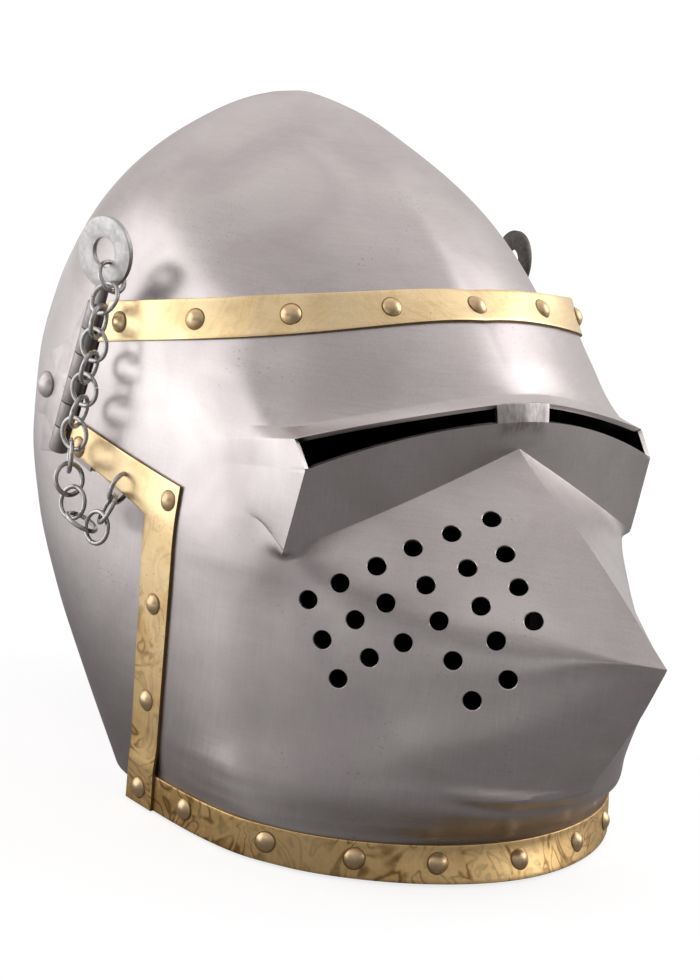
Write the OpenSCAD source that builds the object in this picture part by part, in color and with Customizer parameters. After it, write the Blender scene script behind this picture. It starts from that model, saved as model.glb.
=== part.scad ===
// Visored bascinet: a keeled skull, a beaked visor hung on two pin hinges,
// brass bands with domed rivets, and a chain that keeps each hinge pin.
// Millimetres. X is the wearer's left, -Y the front, Z up; the rim stands on Z = 0.

/* [Overall size] */
// Width over the visor at the hinges
helmet_w = 205; // [198:1:212]
// Length from the beak tip to the back of the skull
helmet_l = 343; // [335:1:352]
// Height of the skull above its rim
helmet_h = 271; // [262:1:280]

/* [Plate] */
// Thickness of the steel plate of skull and visor
plate_t = 2; // [1.5:0.1:2.2]
// Thickness of the brass bands
band_t = 1.2; // [0.8:0.1:1.5]
// Diameter of the breath holes
breath_d = 7; // [5:0.5:8]

/* [Rivets] */
// Diameter of a domed brass rivet head
rivet_d = 7.8; // [6:0.2:9]
// Height of a domed brass rivet head
rivet_h = 2.3; // [1.5:0.1:3]
// Diameter of a brass rivet's shank
shank_d = 3; // [2.5:0.1:3.5]

/* [Hinges] */
// Outer radius of the hinge knuckles
knuckle_r = 4; // [3.8:0.1:4.2]
// Radius of the hinge pin
pin_r = 2.2; // [2:0.1:2.4]
// Number of knuckles on each hinge, shared in turn by the two leaves
knuckle_n = 6; // [4:2:8]
// Outer radius of the washer welded on the pin
washer_r = 14; // [13:0.5:15]
// Radius of the hole in that washer
washer_hole_r = 5.8; // [5.5:0.1:6]

/* [Chains] */
// Radius of a chain ring at the middle of its wire
ring_r = 6.2; // [6.1:0.05:6.3]
// Radius of the ring wire
wire_r = 0.95; // [0.8:0.05:1]

/* [Hidden] */
$fn = 48;
// The tables below are drawn at this size and scaled to the one asked for.
drawn = [205, 343, 271];
fit = [helmet_w / drawn[0], helmet_l / drawn[1], helmet_h / drawn[2]];
// Y runs from the brow in the tables. The middle of the whole length becomes Y = 0.
middle_y = 78.8;

// Rows of the visor from its top edge to its rim. Each is a curve from the centre line to
// the temple and on to the rear edge:
// [centre y, z, angle; temple x, y, z, angle before, after; rear y, z; arch; crease]
TOP = 0;
BAND_LOW = 1;
LIP = 4;
LEDGE = 5;
RIM_BAND = 14;
RIM = 15;
ROWS = [
    [42.5, 211.5, 0, 73, 62.5, 205.5, 38, 52, 131.5, 188, 0, 0],
    [30.5, 202, 2, 75, 58, 191, 40, 54, 135.5, 171, 0, 0],
    [17.5, 190, 4, 79.5, 52, 176, 38, 58, 139, 157, 0, 0],
    [6, 181, 12, 86.5, 32, 163.5, 26, 66, 142.5, 144, 1, 0],
    [0, 177.5, 12, 88.5, 24.7, 159.7, 18, 68, 144, 138, 1.5, 1],
    [-2.5, 171, 12, 88, 16.8, 150, 14, 76, 147.5, 126, 4, 1],
    [0.5, 160, 8, 89, 22, 118, 22, 68, 91.5, 114, 0, 1],
    [-45, 134, 40, 89, 26, 108, 50, 66, 91, 102, 0, 0],
    [-92.4, 102.5, 56, 89.5, 28, 96, 60, 66, 90.5, 90, 0, 1],
    [-92, 101, 58, 90, 27, 60, 58, 66, 89, 60, 0, 1],
    [-83, 80, 42, 90, 24, 42, 54, 68, 88, 42, 0, 0],
    [-72, 60, 30, 90, 20, 33, 52, 70, 87.5, 33, 0, 0],
    [-60, 43, 14, 89.5, 17, 26, 50, 70, 87, 26, 0, 0],
    [-43, 28, 6, 89, 14, 20, 47, 70, 86.5, 20, 0, 0],
    [-31, 15, 0, 88, 11, 15, 45, 70, 86, 15, 0, 0],
    [-36.8, 1, 0, 87, 8, 1, 44, 70, 86, 1, 0, 1]
];
// Half width of the visor's rear edge at each height: [z, x]
REAR_X = [[0, 96.5], [40, 98.5], [84, 100.5], [115, 102], [125, 102.5], [175, 102.5], [190, 101.5], [215, 97]];
// How many steps each row is divided into on its way to the next one
STEPS = [1, 2, 2, 1, 1, 3, 2, 4, 1, 3, 2, 2, 2, 1, 1];
// Where the columns lie: 0 on the centre line, 1 at the temple, 2 at the rear edge
SIGHT_IN = 0.147;
COLUMNS = [0, 0.07, SIGHT_IN, 0.26, 0.38, 0.5, 0.62, 0.74, 0.87, 1, 1.12, 1.24, 1.38, 1.52, 1.68, 1.84, 2];

// Sections of the skull: [z, half width, front y, back y]
SKULL = [
    [0, 84, 20, 160], [30, 89.5, 20, 188], [60, 93.5, 20, 216], [90, 96, 20, 237], [120, 96.8, 20, 248.5],
    [150, 96.5, 20, 250.5], [180, 93.5, 23, 245], [200, 89, 36.5, 236], [215, 82.5, 52, 228],
    [230, 72.5, 70.5, 218], [243, 59, 90, 208], [255, 42, 112, 196], [264, 26, 130, 184],
    [269, 12, 146, 173], [271, 3, 155, 163]
];
skull_square = 2.25;
skull_widest = 0.55;
keel_h = 2.6;
keel_half = 0.4;
FACE_W = 68;
FACE_TOP = 187;
FACE_R = 52;
FACE_DEPTH = 66;

// The two hinge lines lean back and stand beside the visor's rear edge.
hinge_x = 102.3 * fit[0];
hinge_top = [hinge_x, 140.1 * fit[1], 185.5 * fit[2]];
hinge_foot = [hinge_x, 156 * fit[1], 122.5 * fit[2]];
hinge_len = norm(hinge_top - hinge_foot);
hinge_lean = atan2(hinge_foot[1] - hinge_top[1], hinge_top[2] - hinge_foot[2]);
knuckle_gap = 0.25;
bore_r = pin_r + 0.07;
leaf_t = 1.4;
front_leaf_w = 19;
front_leaf_turn = 4;
pivot_y = 174 * fit[1];
pivot_z = 145 * fit[2];
pivot_r = 3;
pivot_head_r = 5.4;
pivot_head_h = 3;
washer_t = 2.2;
washer_rise = 22;

function lerp(a, b, t) = a + (b - a) * t;
function unit(v) = v / norm(v);
function clamp(v, a, b) = min(max(v, a), b);
function hermite(p, q, m, n, t) =
    (2 * t * t * t - 3 * t * t + 1) * p + (t * t * t - 2 * t * t + t) * m
    + (3 * t * t - 2 * t * t * t) * q + (t * t * t - t * t) * n;
function bezier(a, b, c, d, t) =
    let (s = 1 - t) s * s * s * a + 3 * s * s * t * b + 3 * s * t * t * c + t * t * t * d;
function heading(angle) = [cos(angle), sin(angle)];

// A smooth curve through stations that never overshoots them: s positions, p values.
function secant(s, p, k) = (p[k + 1] - p[k]) / (s[k + 1] - s[k]);
function mean_slope(a, b) = a * b <= 0 ? 0 : 2 * a * b / (a + b);
function station_slope(s, p, k, after, broken) =
    k == 0 ? secant(s, p, 0)
    : k == len(s) - 1 ? secant(s, p, k - 1)
    : broken[k] == 1 ? secant(s, p, after ? k : k - 1)
    : mean_slope(secant(s, p, k - 1), secant(s, p, k));
function station_index(s, x, k = 0) = k >= len(s) - 2 || x < s[k + 1] ? k : station_index(s, x, k + 1);
function through(s, p, x, broken) =
    let (k = station_index(s, x), h = s[k + 1] - s[k], t = clamp((x - s[k]) / h, 0, 1))
    hermite(p[k], p[k + 1], station_slope(s, p, k, true, broken) * h,
        station_slope(s, p, k + 1, false, broken) * h, t);
function column_of(rows, c) = [for (r = rows) r[c]];
NO_BREAKS = [for (i = [0 : 30]) 0];

// Visor surface
function row_centre(r) = [0, r[0], r[1]];
function row_temple(r) = [r[3], r[4], r[5]];
function row_gap(i) = (norm(row_centre(ROWS[i + 1]) - row_centre(ROWS[i]))
    + norm(row_temple(ROWS[i + 1]) - row_temple(ROWS[i]))) / 2;
STATIONS = [for (i = 0, s = 0; i < len(ROWS); s = s + (i < len(ROWS) - 1 ? row_gap(i) : 0), i = i + 1) s];
CREASES = column_of(ROWS, 11);
function row_at(v) =
    let (i = min(floor(v), len(ROWS) - 2), s = lerp(STATIONS[i], STATIONS[i + 1], v - i))
    [for (c = [0 : 10]) through(STATIONS, column_of(ROWS, c), s, CREASES)];
function rear_x(z) = through(column_of(REAR_X, 0), column_of(REAR_X, 1), z, NO_BREAKS);
function front_part(r, u) =
    let (c = [0, r[0]], k = [r[3], r[4]], d = norm(k - c) / 3,
        q = bezier(c, c + d * heading(r[2]), k - d * heading(r[6]), k, u))
    [q[0], q[1], lerp(r[1], r[5], q[0] / r[3]) + r[10] * 4 * u * (1 - u)];
function side_part(r, t) =
    let (k = [r[3], r[4]], e = [rear_x(r[9]), r[8]], d = norm(e - k) / 3,
        q = bezier(k, k + d * heading(r[7]), e - [0, d], e, t))
    [q[0], q[1], lerp(r[5], r[9], t)];
function scaled(p) = [p[0] * fit[0], p[1] * fit[1], p[2] * fit[2]];
function row_point(r, u) =
    let (a = abs(u), p = a <= 1 ? front_part(r, a) : side_part(r, a - 1))
    scaled([u < 0 ? -p[0] : p[0], p[1], p[2]]);
function visor_point(u, v) = row_point(row_at(v), u);
function visor_normal(u, v) =
    let (e = 0.01, r = row_at(v), side = row_point(r, u + e) - row_point(r, u - e),
        down = visor_point(u, min(v + e, RIM)) - visor_point(u, max(v - e, 0)))
    unit(cross(down, side));

// A net of points, row by row, with the columns running from the right rear edge to the left.
ALL_COLUMNS = concat([for (i = [len(COLUMNS) - 1 : -1 : 1]) -COLUMNS[i]], COLUMNS);
ALL_ROWS = concat([for (i = [0 : len(STEPS) - 1], k = [0 : STEPS[i] - 1]) i + k / STEPS[i]], [RIM]);
function net(us, vs) = [for (v = vs) let (r = row_at(v)) [for (u = us) row_point(r, u)]];
function net_normal(p, i, j) =
    let (m = len(p) - 1, n = len(p[0]) - 1)
    unit(cross(p[min(i + 1, m)][j] - p[max(i - 1, 0)][j], p[i][min(j + 1, n)] - p[i][max(j - 1, 0)]));
function net_offset(p, d) = [for (i = [0 : len(p) - 1]) [for (j = [0 : len(p[0]) - 1])
    p[i][j] + d * net_normal(p, i, j)]];
function flat(rows) = [for (r = rows, p = r) p];
function average(points) = let (m = [for (p = points) 1] * points) m / len(points);

// Two triangles of a four-cornered cell, split the same way on both sides of the helmet
function split(a, b, c, d, other) = other ? [[a, b, c], [a, c, d]] : [[a, b, d], [b, c, d]];

// A plate between two nets of the same shape. Cells inside an opening are left out and the
// plate is closed round them. An opening is [first row, last row, first column, last column].
// From the column turn_at on, the cells are split the other way.
module plate(outer, inner, openings = [], turn_at = -1) {
    m = len(outer) - 1;
    n = len(outer[0]) - 1;
    k = (m + 1) * (n + 1);
    turn = turn_at < 0 ? n / 2 : turn_at;
    function at(i, j) = i * (n + 1) + j;
    function solid(i, j) = i >= 0 && i < m && j >= 0 && j < n
        && len([for (o = openings) if (i >= o[0] && i < o[1] && j >= o[2] && j < o[3]) 1]) == 0;
    cells = [for (i = [0 : m - 1], j = [0 : n - 1]) if (solid(i, j)) [i, j]];
    skins = [for (c = cells) let (i = c[0], j = c[1], half = j >= turn,
            a = at(i, j), b = at(i + 1, j), e = at(i + 1, j + 1), f = at(i, j + 1))
        for (t = concat([for (s = split(a, b, e, f, half)) [s[2], s[1], s[0]]],
            split(a + k, b + k, e + k, f + k, half))) t];
    walls = [for (c = cells) let (i = c[0], j = c[1],
            a = at(i, j), b = at(i + 1, j), e = at(i + 1, j + 1), f = at(i, j + 1))
        for (w = concat(
            solid(i - 1, j) ? [] : [[f, a]], solid(i + 1, j) ? [] : [[b, e]],
            solid(i, j - 1) ? [] : [[a, b]], solid(i, j + 1) ? [] : [[e, f]]))
        for (t = [[w[1], w[0] + k, w[0]], [w[1], w[1] + k, w[0] + k]]) t];
    polyhedron(concat(flat(outer), flat(inner)), concat(skins, walls));
}

// Skull surface: one section is a squarish oval with a soft keel in front
function skull_row(z) = [for (c = [1 : 3]) through(column_of(SKULL, 0), column_of(SKULL, c), z, NO_BREAKS)];
function power(v, e) = sign(v) * pow(abs(v), e);
function skull_point(z, a) =
    let (r = skull_row(z), mid = lerp(r[1], r[2], skull_widest), e = 2 / skull_square,
        x = r[0] * power(sin(a), e), front = cos(a) > 0,
        reach = front ? mid - r[1] - keel_h : r[2] - mid,
        keel = front ? keel_h * pow(max(0, 1 - abs(x) / (keel_half * r[0])), 2) : 0)
    scaled([x, mid - reach * power(cos(a), e) - keel, z]);
// The pivots stand near the middle of one flat facet of this net.
SKULL_Z = [0, 22, 45, 68, 91, 114, 136, 162, 178, 192, 204, 214, 223, 232, 240, 248, 255, 261, 266, 269, 271];
SKULL_A = [0, 6, 12, 20, 29, 39, 49, 60, 72, 85, 98.5, 111.5, 124, 137, 151, 165];
SKULL_TURN = concat(SKULL_A, [180], [for (i = [len(SKULL_A) - 1 : -1 : 1]) 360 - SKULL_A[i]]);
function ring_normal(p, i, j) =
    let (m = len(p) - 1, n = len(p[0]))
    unit(cross(p[i][(j + 1) % n] - p[i][(j + n - 1) % n], p[min(i + 1, m)][j] - p[max(i - 1, 0)][j]));
skull_net = [for (z = SKULL_Z) [for (a = SKULL_TURN) skull_point(z, a)]];
skull_inner = [for (i = [0 : len(skull_net) - 1]) [for (j = [0 : len(SKULL_TURN) - 1])
    let (q = skull_net[i][j] - plate_t * ring_normal(skull_net, i, j))
    [q[0], q[1], i == 0 ? 0 : q[2]]]];

// A bowl between two stacks of rings, closed at the top and joined at the rim
module bowl(outer, inner) {
    m = len(outer);
    n = len(outer[0]);
    k = m * n;
    function at(i, j) = i * n + j % n;
    top = 2 * k;
    skins = [for (i = [0 : m - 2], j = [0 : n - 1])
        let (half = j >= n / 2, a = at(i, j), b = at(i + 1, j), c = at(i + 1, j + 1), d = at(i, j + 1))
        for (t = concat(split(a, b, c, d, half), [for (s = split(a + k, b + k, c + k, d + k, half)) [s[2], s[1], s[0]]])) t];
    rim = [for (j = [0 : n - 1]) let (a = at(0, j), d = at(0, j + 1))
        for (t = [[a, d, d + k], [a, d + k, a + k]]) t];
    cap = [for (j = [0 : n - 1]) let (a = at(m - 1, j), d = at(m - 1, j + 1))
        for (t = [[d, a, top], [a + k, d + k, top + 1]]) t];
    peaks = [average(outer[m - 1]), average(inner[m - 1])];
    polyhedron(concat(flat(outer), flat(inner), peaks), concat(skins, rim, cap));
}

// Puts what is drawn at the origin on a point, with its Z along a direction
module stand_on(p, n) {
    translate(p) rotate([0, acos(n[2]), atan2(n[1], n[0])]) children();
}

module domed_rivet(head_d, head_h, shank, through_len) {
    ball = (head_d * head_d / 4 + head_h * head_h) / (2 * head_h);
    intersection() {
        translate([0, 0, head_h - ball]) sphere(ball);
        cylinder(d = head_d + 1, h = head_h + 1);
    }
    translate([0, 0, -through_len]) cylinder(d = shank, h = through_len + 0.5);
}

// Moves the drawn part so that the middle of its length is at Y = 0
module placed() {
    translate([0, -middle_y * fit[1], 0]) children();
}

module on_side(left) {
    if (left) children();
    else mirror([1, 0, 0]) children();
}

// The visor's nets, and where a station lies in them
visor_net = net(ALL_COLUMNS, ALL_ROWS);
visor_inner = net_offset(visor_net, -plate_t);
band_net = net_offset(visor_net, band_t);
function place_of(list, x) = [for (i = [0 : len(list) - 1]) if (abs(list[i] - x) < 0.001) i][0];
function rows_of(p, v0, v1) = [for (i = [place_of(ALL_ROWS, v0) : place_of(ALL_ROWS, v1)]) p[i]];
function columns_of(p, j0, j1) = [for (r = p) [for (j = [j0 : j1]) r[j]]];
function sight(left) =
    let (a = place_of(ALL_COLUMNS, left ? SIGHT_IN : -1), b = place_of(ALL_COLUMNS, left ? 1 : -SIGHT_IN))
    [place_of(ALL_ROWS, LIP), place_of(ALL_ROWS, LEDGE), a, b];

// A facet of a net that a line along X or a place (u, v) meets: [point, outward normal]
function in_plane(p, q, r, x, y, a, b) =
    let (d = (q[a] - p[a]) * (r[b] - p[b]) - (q[b] - p[b]) * (r[a] - p[a]),
        s = ((x - p[a]) * (r[b] - p[b]) - (y - p[b]) * (r[a] - p[a])) / d,
        t = ((q[a] - p[a]) * (y - p[b]) - (q[b] - p[b]) * (x - p[a])) / d)
    [s, t];
function facet_hit(f, y, z) =
    let (w = in_plane(f[0], f[1], f[2], y, z, 1, 2))
    w[0] >= 0 && w[1] >= 0 && w[0] + w[1] <= 1
        ? [f[0] + w[0] * (f[1] - f[0]) + w[1] * (f[2] - f[0]), unit(cross(f[1] - f[0], f[2] - f[0]))] : [];
function cell_facets(p, i, j, other) =
    [for (t = split(p[i][j], p[i + 1][j], p[i + 1][j + 1], p[i][j + 1], other)) t];
function side_hit(p, left, y, z) =
    let (n = len(p[0]) - 1)
    [for (i = [0 : len(p) - 2], j = left ? [n * 3 / 4 : n - 1] : [0 : n / 4])
        for (f = cell_facets(p, i, j, left)) let (h = facet_hit(f, y, z)) if (len(h) > 0) h][0];
function cell_index(list, x, k = 0) = k >= len(list) - 2 || x < list[k + 1] ? k : cell_index(list, x, k + 1);
function net_hit(p, u, v) =
    let (i = cell_index(ALL_ROWS, v), j = cell_index(ALL_COLUMNS, u),
        s = (u - ALL_COLUMNS[j]) / (ALL_COLUMNS[j + 1] - ALL_COLUMNS[j]),
        t = (v - ALL_ROWS[i]) / (ALL_ROWS[i + 1] - ALL_ROWS[i]),
        a = p[i][j], b = p[i + 1][j], c = p[i + 1][j + 1], d = p[i][j + 1],
        f = u < 0 ? (s + t <= 1 ? [a, b, d] : [c, d, b]) : (t >= s ? [b, c, a] : [d, a, c]),
        x = u < 0 ? (s + t <= 1 ? [t, s] : [1 - t, 1 - s]) : (t >= s ? [s, 1 - t] : [1 - s, t]))
    [f[0] + x[0] * (f[1] - f[0]) + x[1] * (f[2] - f[0]), unit(cross(f[1] - f[0], f[2] - f[0]))];

// The place u on a row at a distance along it from the centre line
ARC_STEP = 0.04;
function arc_points(r) = [for (i = [0 : 2 / ARC_STEP]) row_point(r, i * ARC_STEP)];
function running(p) = [for (i = 0, s = 0; i < len(p); i = i + 1, s = s + (i < len(p) ? norm(p[i] - p[i - 1]) : 0)) s];
function place_at(r, length) =
    let (s = running(arc_points(r)), k = cell_index(s, length))
    (k + (length - s[k]) / (s[k + 1] - s[k])) * ARC_STEP;
function across(list) = concat([for (i = [len(list) - 1 : -1 : 1]) -list[i]], list);

TOP_BAND_ARCS = [0, 38.5, 77, 115, 153];
RIM_BAND_ARCS = [0, 35.6, 67.5, 101.3, 141];
function band_places(arcs, v) = [for (a = across(arcs)) sign(a) * place_at(row_at(v), abs(a) * fit[0])];
top_rivets = [for (u = band_places(TOP_BAND_ARCS, 0.5)) net_hit(band_net, u, 0.5)];
rim_rivets = [for (u = band_places(RIM_BAND_ARCS, 14.5)) net_hit(band_net, u, 14.5)];

// Brass strip on each side: an L from the hinge to the rim
STRIP_RIVETS = [[139.6, 127.8], [78.4, 122.4], [80.5, 81], [79, 42.6], [77.8, 7.6]];
STRIP_FRONT = [[150, 138.5], [144, 137.7], [73.5, 129], [71, 45], [68.5, -5]];
CHAIN_HOLE = [108.9, 125];
chain_hole_r = 3;
strip_first = cell_index(COLUMNS, 1.24);
function strip_lift(v) = v >= RIM_BAND ? band_t : 0;
function strip_part(left, d) =
    let (c = len(COLUMNS) - 1,
        j0 = left ? c + strip_first : 0, j1 = left ? 2 * c : c - strip_first,
        rows = [for (i = [place_of(ALL_ROWS, 3) : place_of(ALL_ROWS, RIM)]) i],
        n = columns_of([for (i = rows) [for (j = [0 : len(ALL_COLUMNS) - 1])
            visor_net[i][j] + (d + strip_lift(ALL_ROWS[i])) * net_normal(visor_net, i, j)]], j0, j1))
    n;
function outline(points) = [for (p = points) [p[0] * fit[1], p[1] * fit[2]]];

// Draws along X, from the side towards the middle of the helmet, what is given in Y and Z
module from_side(left, x0, x1) {
    on_side(left) translate([x0, 0, 0]) rotate([90, 0, 90]) linear_extrude(x1 - x0) children();
}
module strip_shape() {
    polygon(outline(concat(STRIP_FRONT, [[100, -5], [100, 108], [160, 108]])));
}
function strip_hit(left, k) =
    let (y = STRIP_RIVETS[k][0] * fit[1], z = STRIP_RIVETS[k][1] * fit[2], p = strip_part(left, band_t),
        hits = [for (i = [0 : len(p) - 2], j = [0 : len(p[0]) - 2])
            for (f = cell_facets(p, i, j, left)) let (h = facet_hit(f, y, z)) if (len(h) > 0) h])
    hits[0];

module on(h) {
    stand_on(h[0], h[1]) children();
}
module shank_bores(hits, depth) {
    for (h = hits) on(h) translate([0, 0, -depth]) cylinder(d = shank_d + 0.1, h = depth + 3);
}
// The band is set flat under each rivet's head
module rivet_seats(hits) {
    for (h = hits) on(h) cylinder(d = rivet_d + 0.3, h = 3);
}

// What a barrel leaf or a pin is drawn in: Z up the barrel's line from its foot, X outward
module at_hinge(left) {
    on_side(left) translate(hinge_foot) rotate([hinge_lean, 0, 0]) children();
}
module knuckles(first) {
    pitch = hinge_len / knuckle_n;
    for (i = [first : 2 : knuckle_n - 1]) translate([0, 0, i * pitch + knuckle_gap / 2]) children();
}
knuckle_len = hinge_len / knuckle_n - knuckle_gap;

module skull() {
    color([0.69, 0.67, 0.67]) placed() difference() {
        bowl(skull_net, skull_inner);
        rotate([90, 0, 0]) translate([0, 0, -FACE_DEPTH * fit[1]]) linear_extrude(FACE_DEPTH * fit[1] + 60) face_shape();
        for (left = [true, false]) pivot_line(left, 80) cylinder(r = pivot_r + 0.05, h = 30);
    }
}
module face_shape() {
    w = FACE_W * fit[0];
    z = FACE_TOP * fit[2];
    translate([-w, -5]) square([2 * w, z - FACE_R + 5]);
    translate([FACE_R - w, -5]) square([2 * w - 2 * FACE_R, z + 5]);
    for (x = [FACE_R - w, w - FACE_R]) translate([x, z - FACE_R]) circle(FACE_R);
}

module visor_plate() {
    color([0.66, 0.64, 0.64]) placed() difference() {
        plate(visor_net, visor_inner, [sight(false), sight(true)]);
        breath_holes();
        shank_bores(concat(top_rivets, rim_rivets), 8);
        for (left = [true, false]) {
            shank_bores([for (k = [0 : len(STRIP_RIVETS) - 1]) strip_hit(left, k)], 8);
            from_side(left, 80, 120) chain_hole();
        }
    }
}
module chain_hole() {
    translate([CHAIN_HOLE[0] * fit[1], CHAIN_HOLE[1] * fit[2]]) circle(chain_hole_r);
}
// Breath holes, on the wearer's right only: places (u, v) in rows from under the sight down
BREATHS = [
    [-0.24, 6.57], [-0.39, 6.61], [-0.53, 6.7], [-0.66, 6.93], [-0.79, 7.23], [-0.88, 7.67],
    [-0.26, 6.97], [-0.39, 7.09], [-0.54, 7.28], [-0.67, 7.58], [-0.76, 7.97], [-0.84, 8.31],
    [-0.27, 7.33], [-0.41, 7.55], [-0.53, 7.79], [-0.64, 8.2], [-0.71, 8.48], [-0.79, 8.77],
    [-0.28, 7.69], [-0.41, 7.97], [-0.51, 8.49],
    [-0.37, 8.94], [-0.44, 9.28]
];
module breath_holes() {
    for (b = BREATHS) on([visor_point(b[0], b[1]), visor_normal(b[0], b[1])])
        translate([0, 0, -6]) cylinder(d = breath_d, h = 10);
}

module top_band() {
    color([0.80, 0.69, 0.42]) placed() difference() {
        plate(rows_of(band_net, TOP, BAND_LOW), rows_of(visor_net, TOP, BAND_LOW));
        shank_bores(top_rivets, 3);
        rivet_seats(top_rivets);
    }
}
module bottom_band() {
    color([0.74, 0.62, 0.37]) placed() difference() {
        plate(rows_of(band_net, RIM_BAND, RIM), rows_of(visor_net, RIM_BAND, RIM));
        shank_bores(rim_rivets, 3);
        rivet_seats(rim_rivets);
        for (left = [true, false]) shank_bores([strip_hit(left, len(STRIP_RIVETS) - 1)], 8);
    }
}
module side_band(left) {
    color([0.80, 0.69, 0.42]) placed() difference() {
        intersection() {
            plate(strip_part(left, band_t), strip_part(left, 0), [], left ? 0 : 999);
            from_side(left, 60, 125) strip_shape();
        }
        shank_bores([for (k = [0 : len(STRIP_RIVETS) - 1]) strip_hit(left, k)], 4);
        rivet_seats([for (k = [0 : len(STRIP_RIVETS) - 1]) strip_hit(left, k)]);
        from_side(left, 80, 120) chain_hole();
    }
}
module right_side_band() {
    side_band(false);
}
module left_side_band() {
    side_band(true);
}

// Rivets. Those at the hinge also hold the front leaf and are longer.
leaf_reach = hinge_x - knuckle_r;
function reach(h, deep) = deep ? abs((abs(h[0][0]) - leaf_reach + 0.3) / h[1][0]) : band_t + plate_t;
module band_rivets(hits) {
    for (i = [0 : len(hits) - 1]) on(hits[i])
        domed_rivet(rivet_d, rivet_h, shank_d, band_t + plate_t);
}
module top_band_rivets() {
    color([0.82, 0.70, 0.52]) placed() for (i = [0 : len(top_rivets) - 1]) on(top_rivets[i])
        domed_rivet(rivet_d, rivet_h, shank_d, reach(top_rivets[i], i == 0 || i == len(top_rivets) - 1));
}
module bottom_band_rivets() {
    color([0.82, 0.70, 0.52]) placed() band_rivets(rim_rivets);
}
module side_rivets(left) {
    color([0.82, 0.70, 0.52]) placed() for (k = [0 : len(STRIP_RIVETS) - 1]) on(strip_hit(left, k))
        domed_rivet(rivet_d, rivet_h, shank_d,
            k == 0 ? reach(strip_hit(left, k), true) : band_t + plate_t + (k == len(STRIP_RIVETS) - 1 ? band_t : 0));
}
module right_side_rivets() {
    side_rivets(false);
}
module left_side_rivets() {
    side_rivets(true);
}

// Front leaf: inside the visor's rear edge
module front_leaf(left) {
    color([0.47, 0.45, 0.45]) placed() difference() {
        at_hinge(left) difference() {
            rotate([0, 0, -front_leaf_turn]) {
                knuckles(0) {
                    cylinder(r = knuckle_r, h = knuckle_len);
                    translate([-knuckle_r, -knuckle_r - 2, 0]) cube([leaf_t, knuckle_r + 2, knuckle_len]);
                }
                translate([-knuckle_r, -front_leaf_w, 0])
                    cube([leaf_t, front_leaf_w - knuckle_r - knuckle_gap, hinge_len]);
            }
            translate([0, 0, -1]) cylinder(r = bore_r, h = hinge_len + 2);
        }
        shank_bores([top_rivets[left ? len(top_rivets) - 1 : 0], strip_hit(left, 0)], 12);
    }
}
module right_front_leaf() {
    front_leaf(false);
}
module left_front_leaf() {
    front_leaf(true);
}

// Rear leaf: from the barrel back to the pivot, cut to a three-lobed outline
REAR_LEAF = [
    [152, 184.2], [159.6, 168.5], [164.6, 164.1], [172.7, 159.4], [177.6, 154.2], [179.2, 143.5],
    [179, 135.3], [177.6, 132.3], [172.4, 133.1], [173.4, 120], [173, 118], [159.2, 120.7]
];
function along_hinge(y, z) = [hinge_foot[1] + y * cos(hinge_lean) - z * sin(hinge_lean),
    hinge_foot[2] + y * sin(hinge_lean) + z * cos(hinge_lean)];
module rear_leaf(left) {
    color([0.47, 0.45, 0.45]) placed() difference() {
        union() {
            from_side(left, leaf_reach, leaf_reach + leaf_t) polygon(concat(outline(REAR_LEAF),
                [along_hinge(knuckle_r + knuckle_gap, 0), along_hinge(knuckle_r + knuckle_gap, hinge_len)]));
            at_hinge(left) knuckles(1) {
                cylinder(r = knuckle_r, h = knuckle_len);
                translate([-knuckle_r, 0, 0]) cube([leaf_t, knuckle_r + 2, knuckle_len]);
            }
        }
        at_hinge(left) translate([0, 0, -1]) cylinder(r = bore_r, h = hinge_len + 2);
        pivot_line(left, leaf_reach - 5) cylinder(r = pivot_r + 0.06, h = 20);
    }
}
module right_rear_leaf() {
    rear_leaf(false);
}
module left_rear_leaf() {
    rear_leaf(true);
}

// Pivot: a domed rivet through arm, spacer and skull, with a burr inside
module pivot_line(left, x) {
    on_side(left) translate([x, pivot_y, pivot_z]) rotate([0, 90, 0]) children();
}
function ring_hit(p, left) =
    let (n = len(p[0]), j0 = left ? 0 : n / 2)
    [for (i = [0 : len(p) - 2], j = [j0 : j0 + n / 2 - 1])
        for (f = cell_facets_of(p[i][j], p[i + 1][j], p[i + 1][(j + 1) % n], p[i][(j + 1) % n], j >= n / 2))
            let (h = facet_hit(f, pivot_y, pivot_z)) if (len(h) > 0 && abs(h[0][0]) > 50) h][0];
function cell_facets_of(a, b, c, d, other) = [for (t = split(a, b, c, d, other)) t];
function skull_face(inner, left) =
    let (h = ring_hit(inner ? skull_inner : skull_net, left), out = h[1][0] * h[0][0] > 0 ? 1 : -1)
    [h[0], out * h[1]];
module under_face(h) {
    on(h) translate([-15, -15, -20]) cube([30, 30, 20]);
}
skull_x = abs(skull_face(false, true)[0][0]);
burr_t = 1.2;
pivot_end = abs(skull_face(true, true)[0][0]) - burr_t - 1.2;
module pivot_rivet(left) {
    color([0.50, 0.48, 0.47]) placed() {
        pivot_line(left, leaf_reach + leaf_t + 0.04) domed_rivet(2 * pivot_head_r, pivot_head_h, 2 * pivot_r,
            leaf_reach + leaf_t + 0.04 - pivot_end);
    }
}
module right_pivot_rivet() {
    pivot_rivet(false);
}
module left_pivot_rivet() {
    pivot_rivet(true);
}
module pivot_spacer(left) {
    color([0.47, 0.45, 0.45]) placed() difference() {
        pivot_line(left, skull_x - 3) cylinder(r = pivot_head_r, h = leaf_reach - 0.04 - skull_x + 3);
        pivot_line(left, skull_x - 10) cylinder(r = pivot_r + 0.05, h = 30);
        under_face(skull_face(false, left));
    }
}
module right_pivot_spacer() {
    pivot_spacer(false);
}
module left_pivot_spacer() {
    pivot_spacer(true);
}
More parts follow.
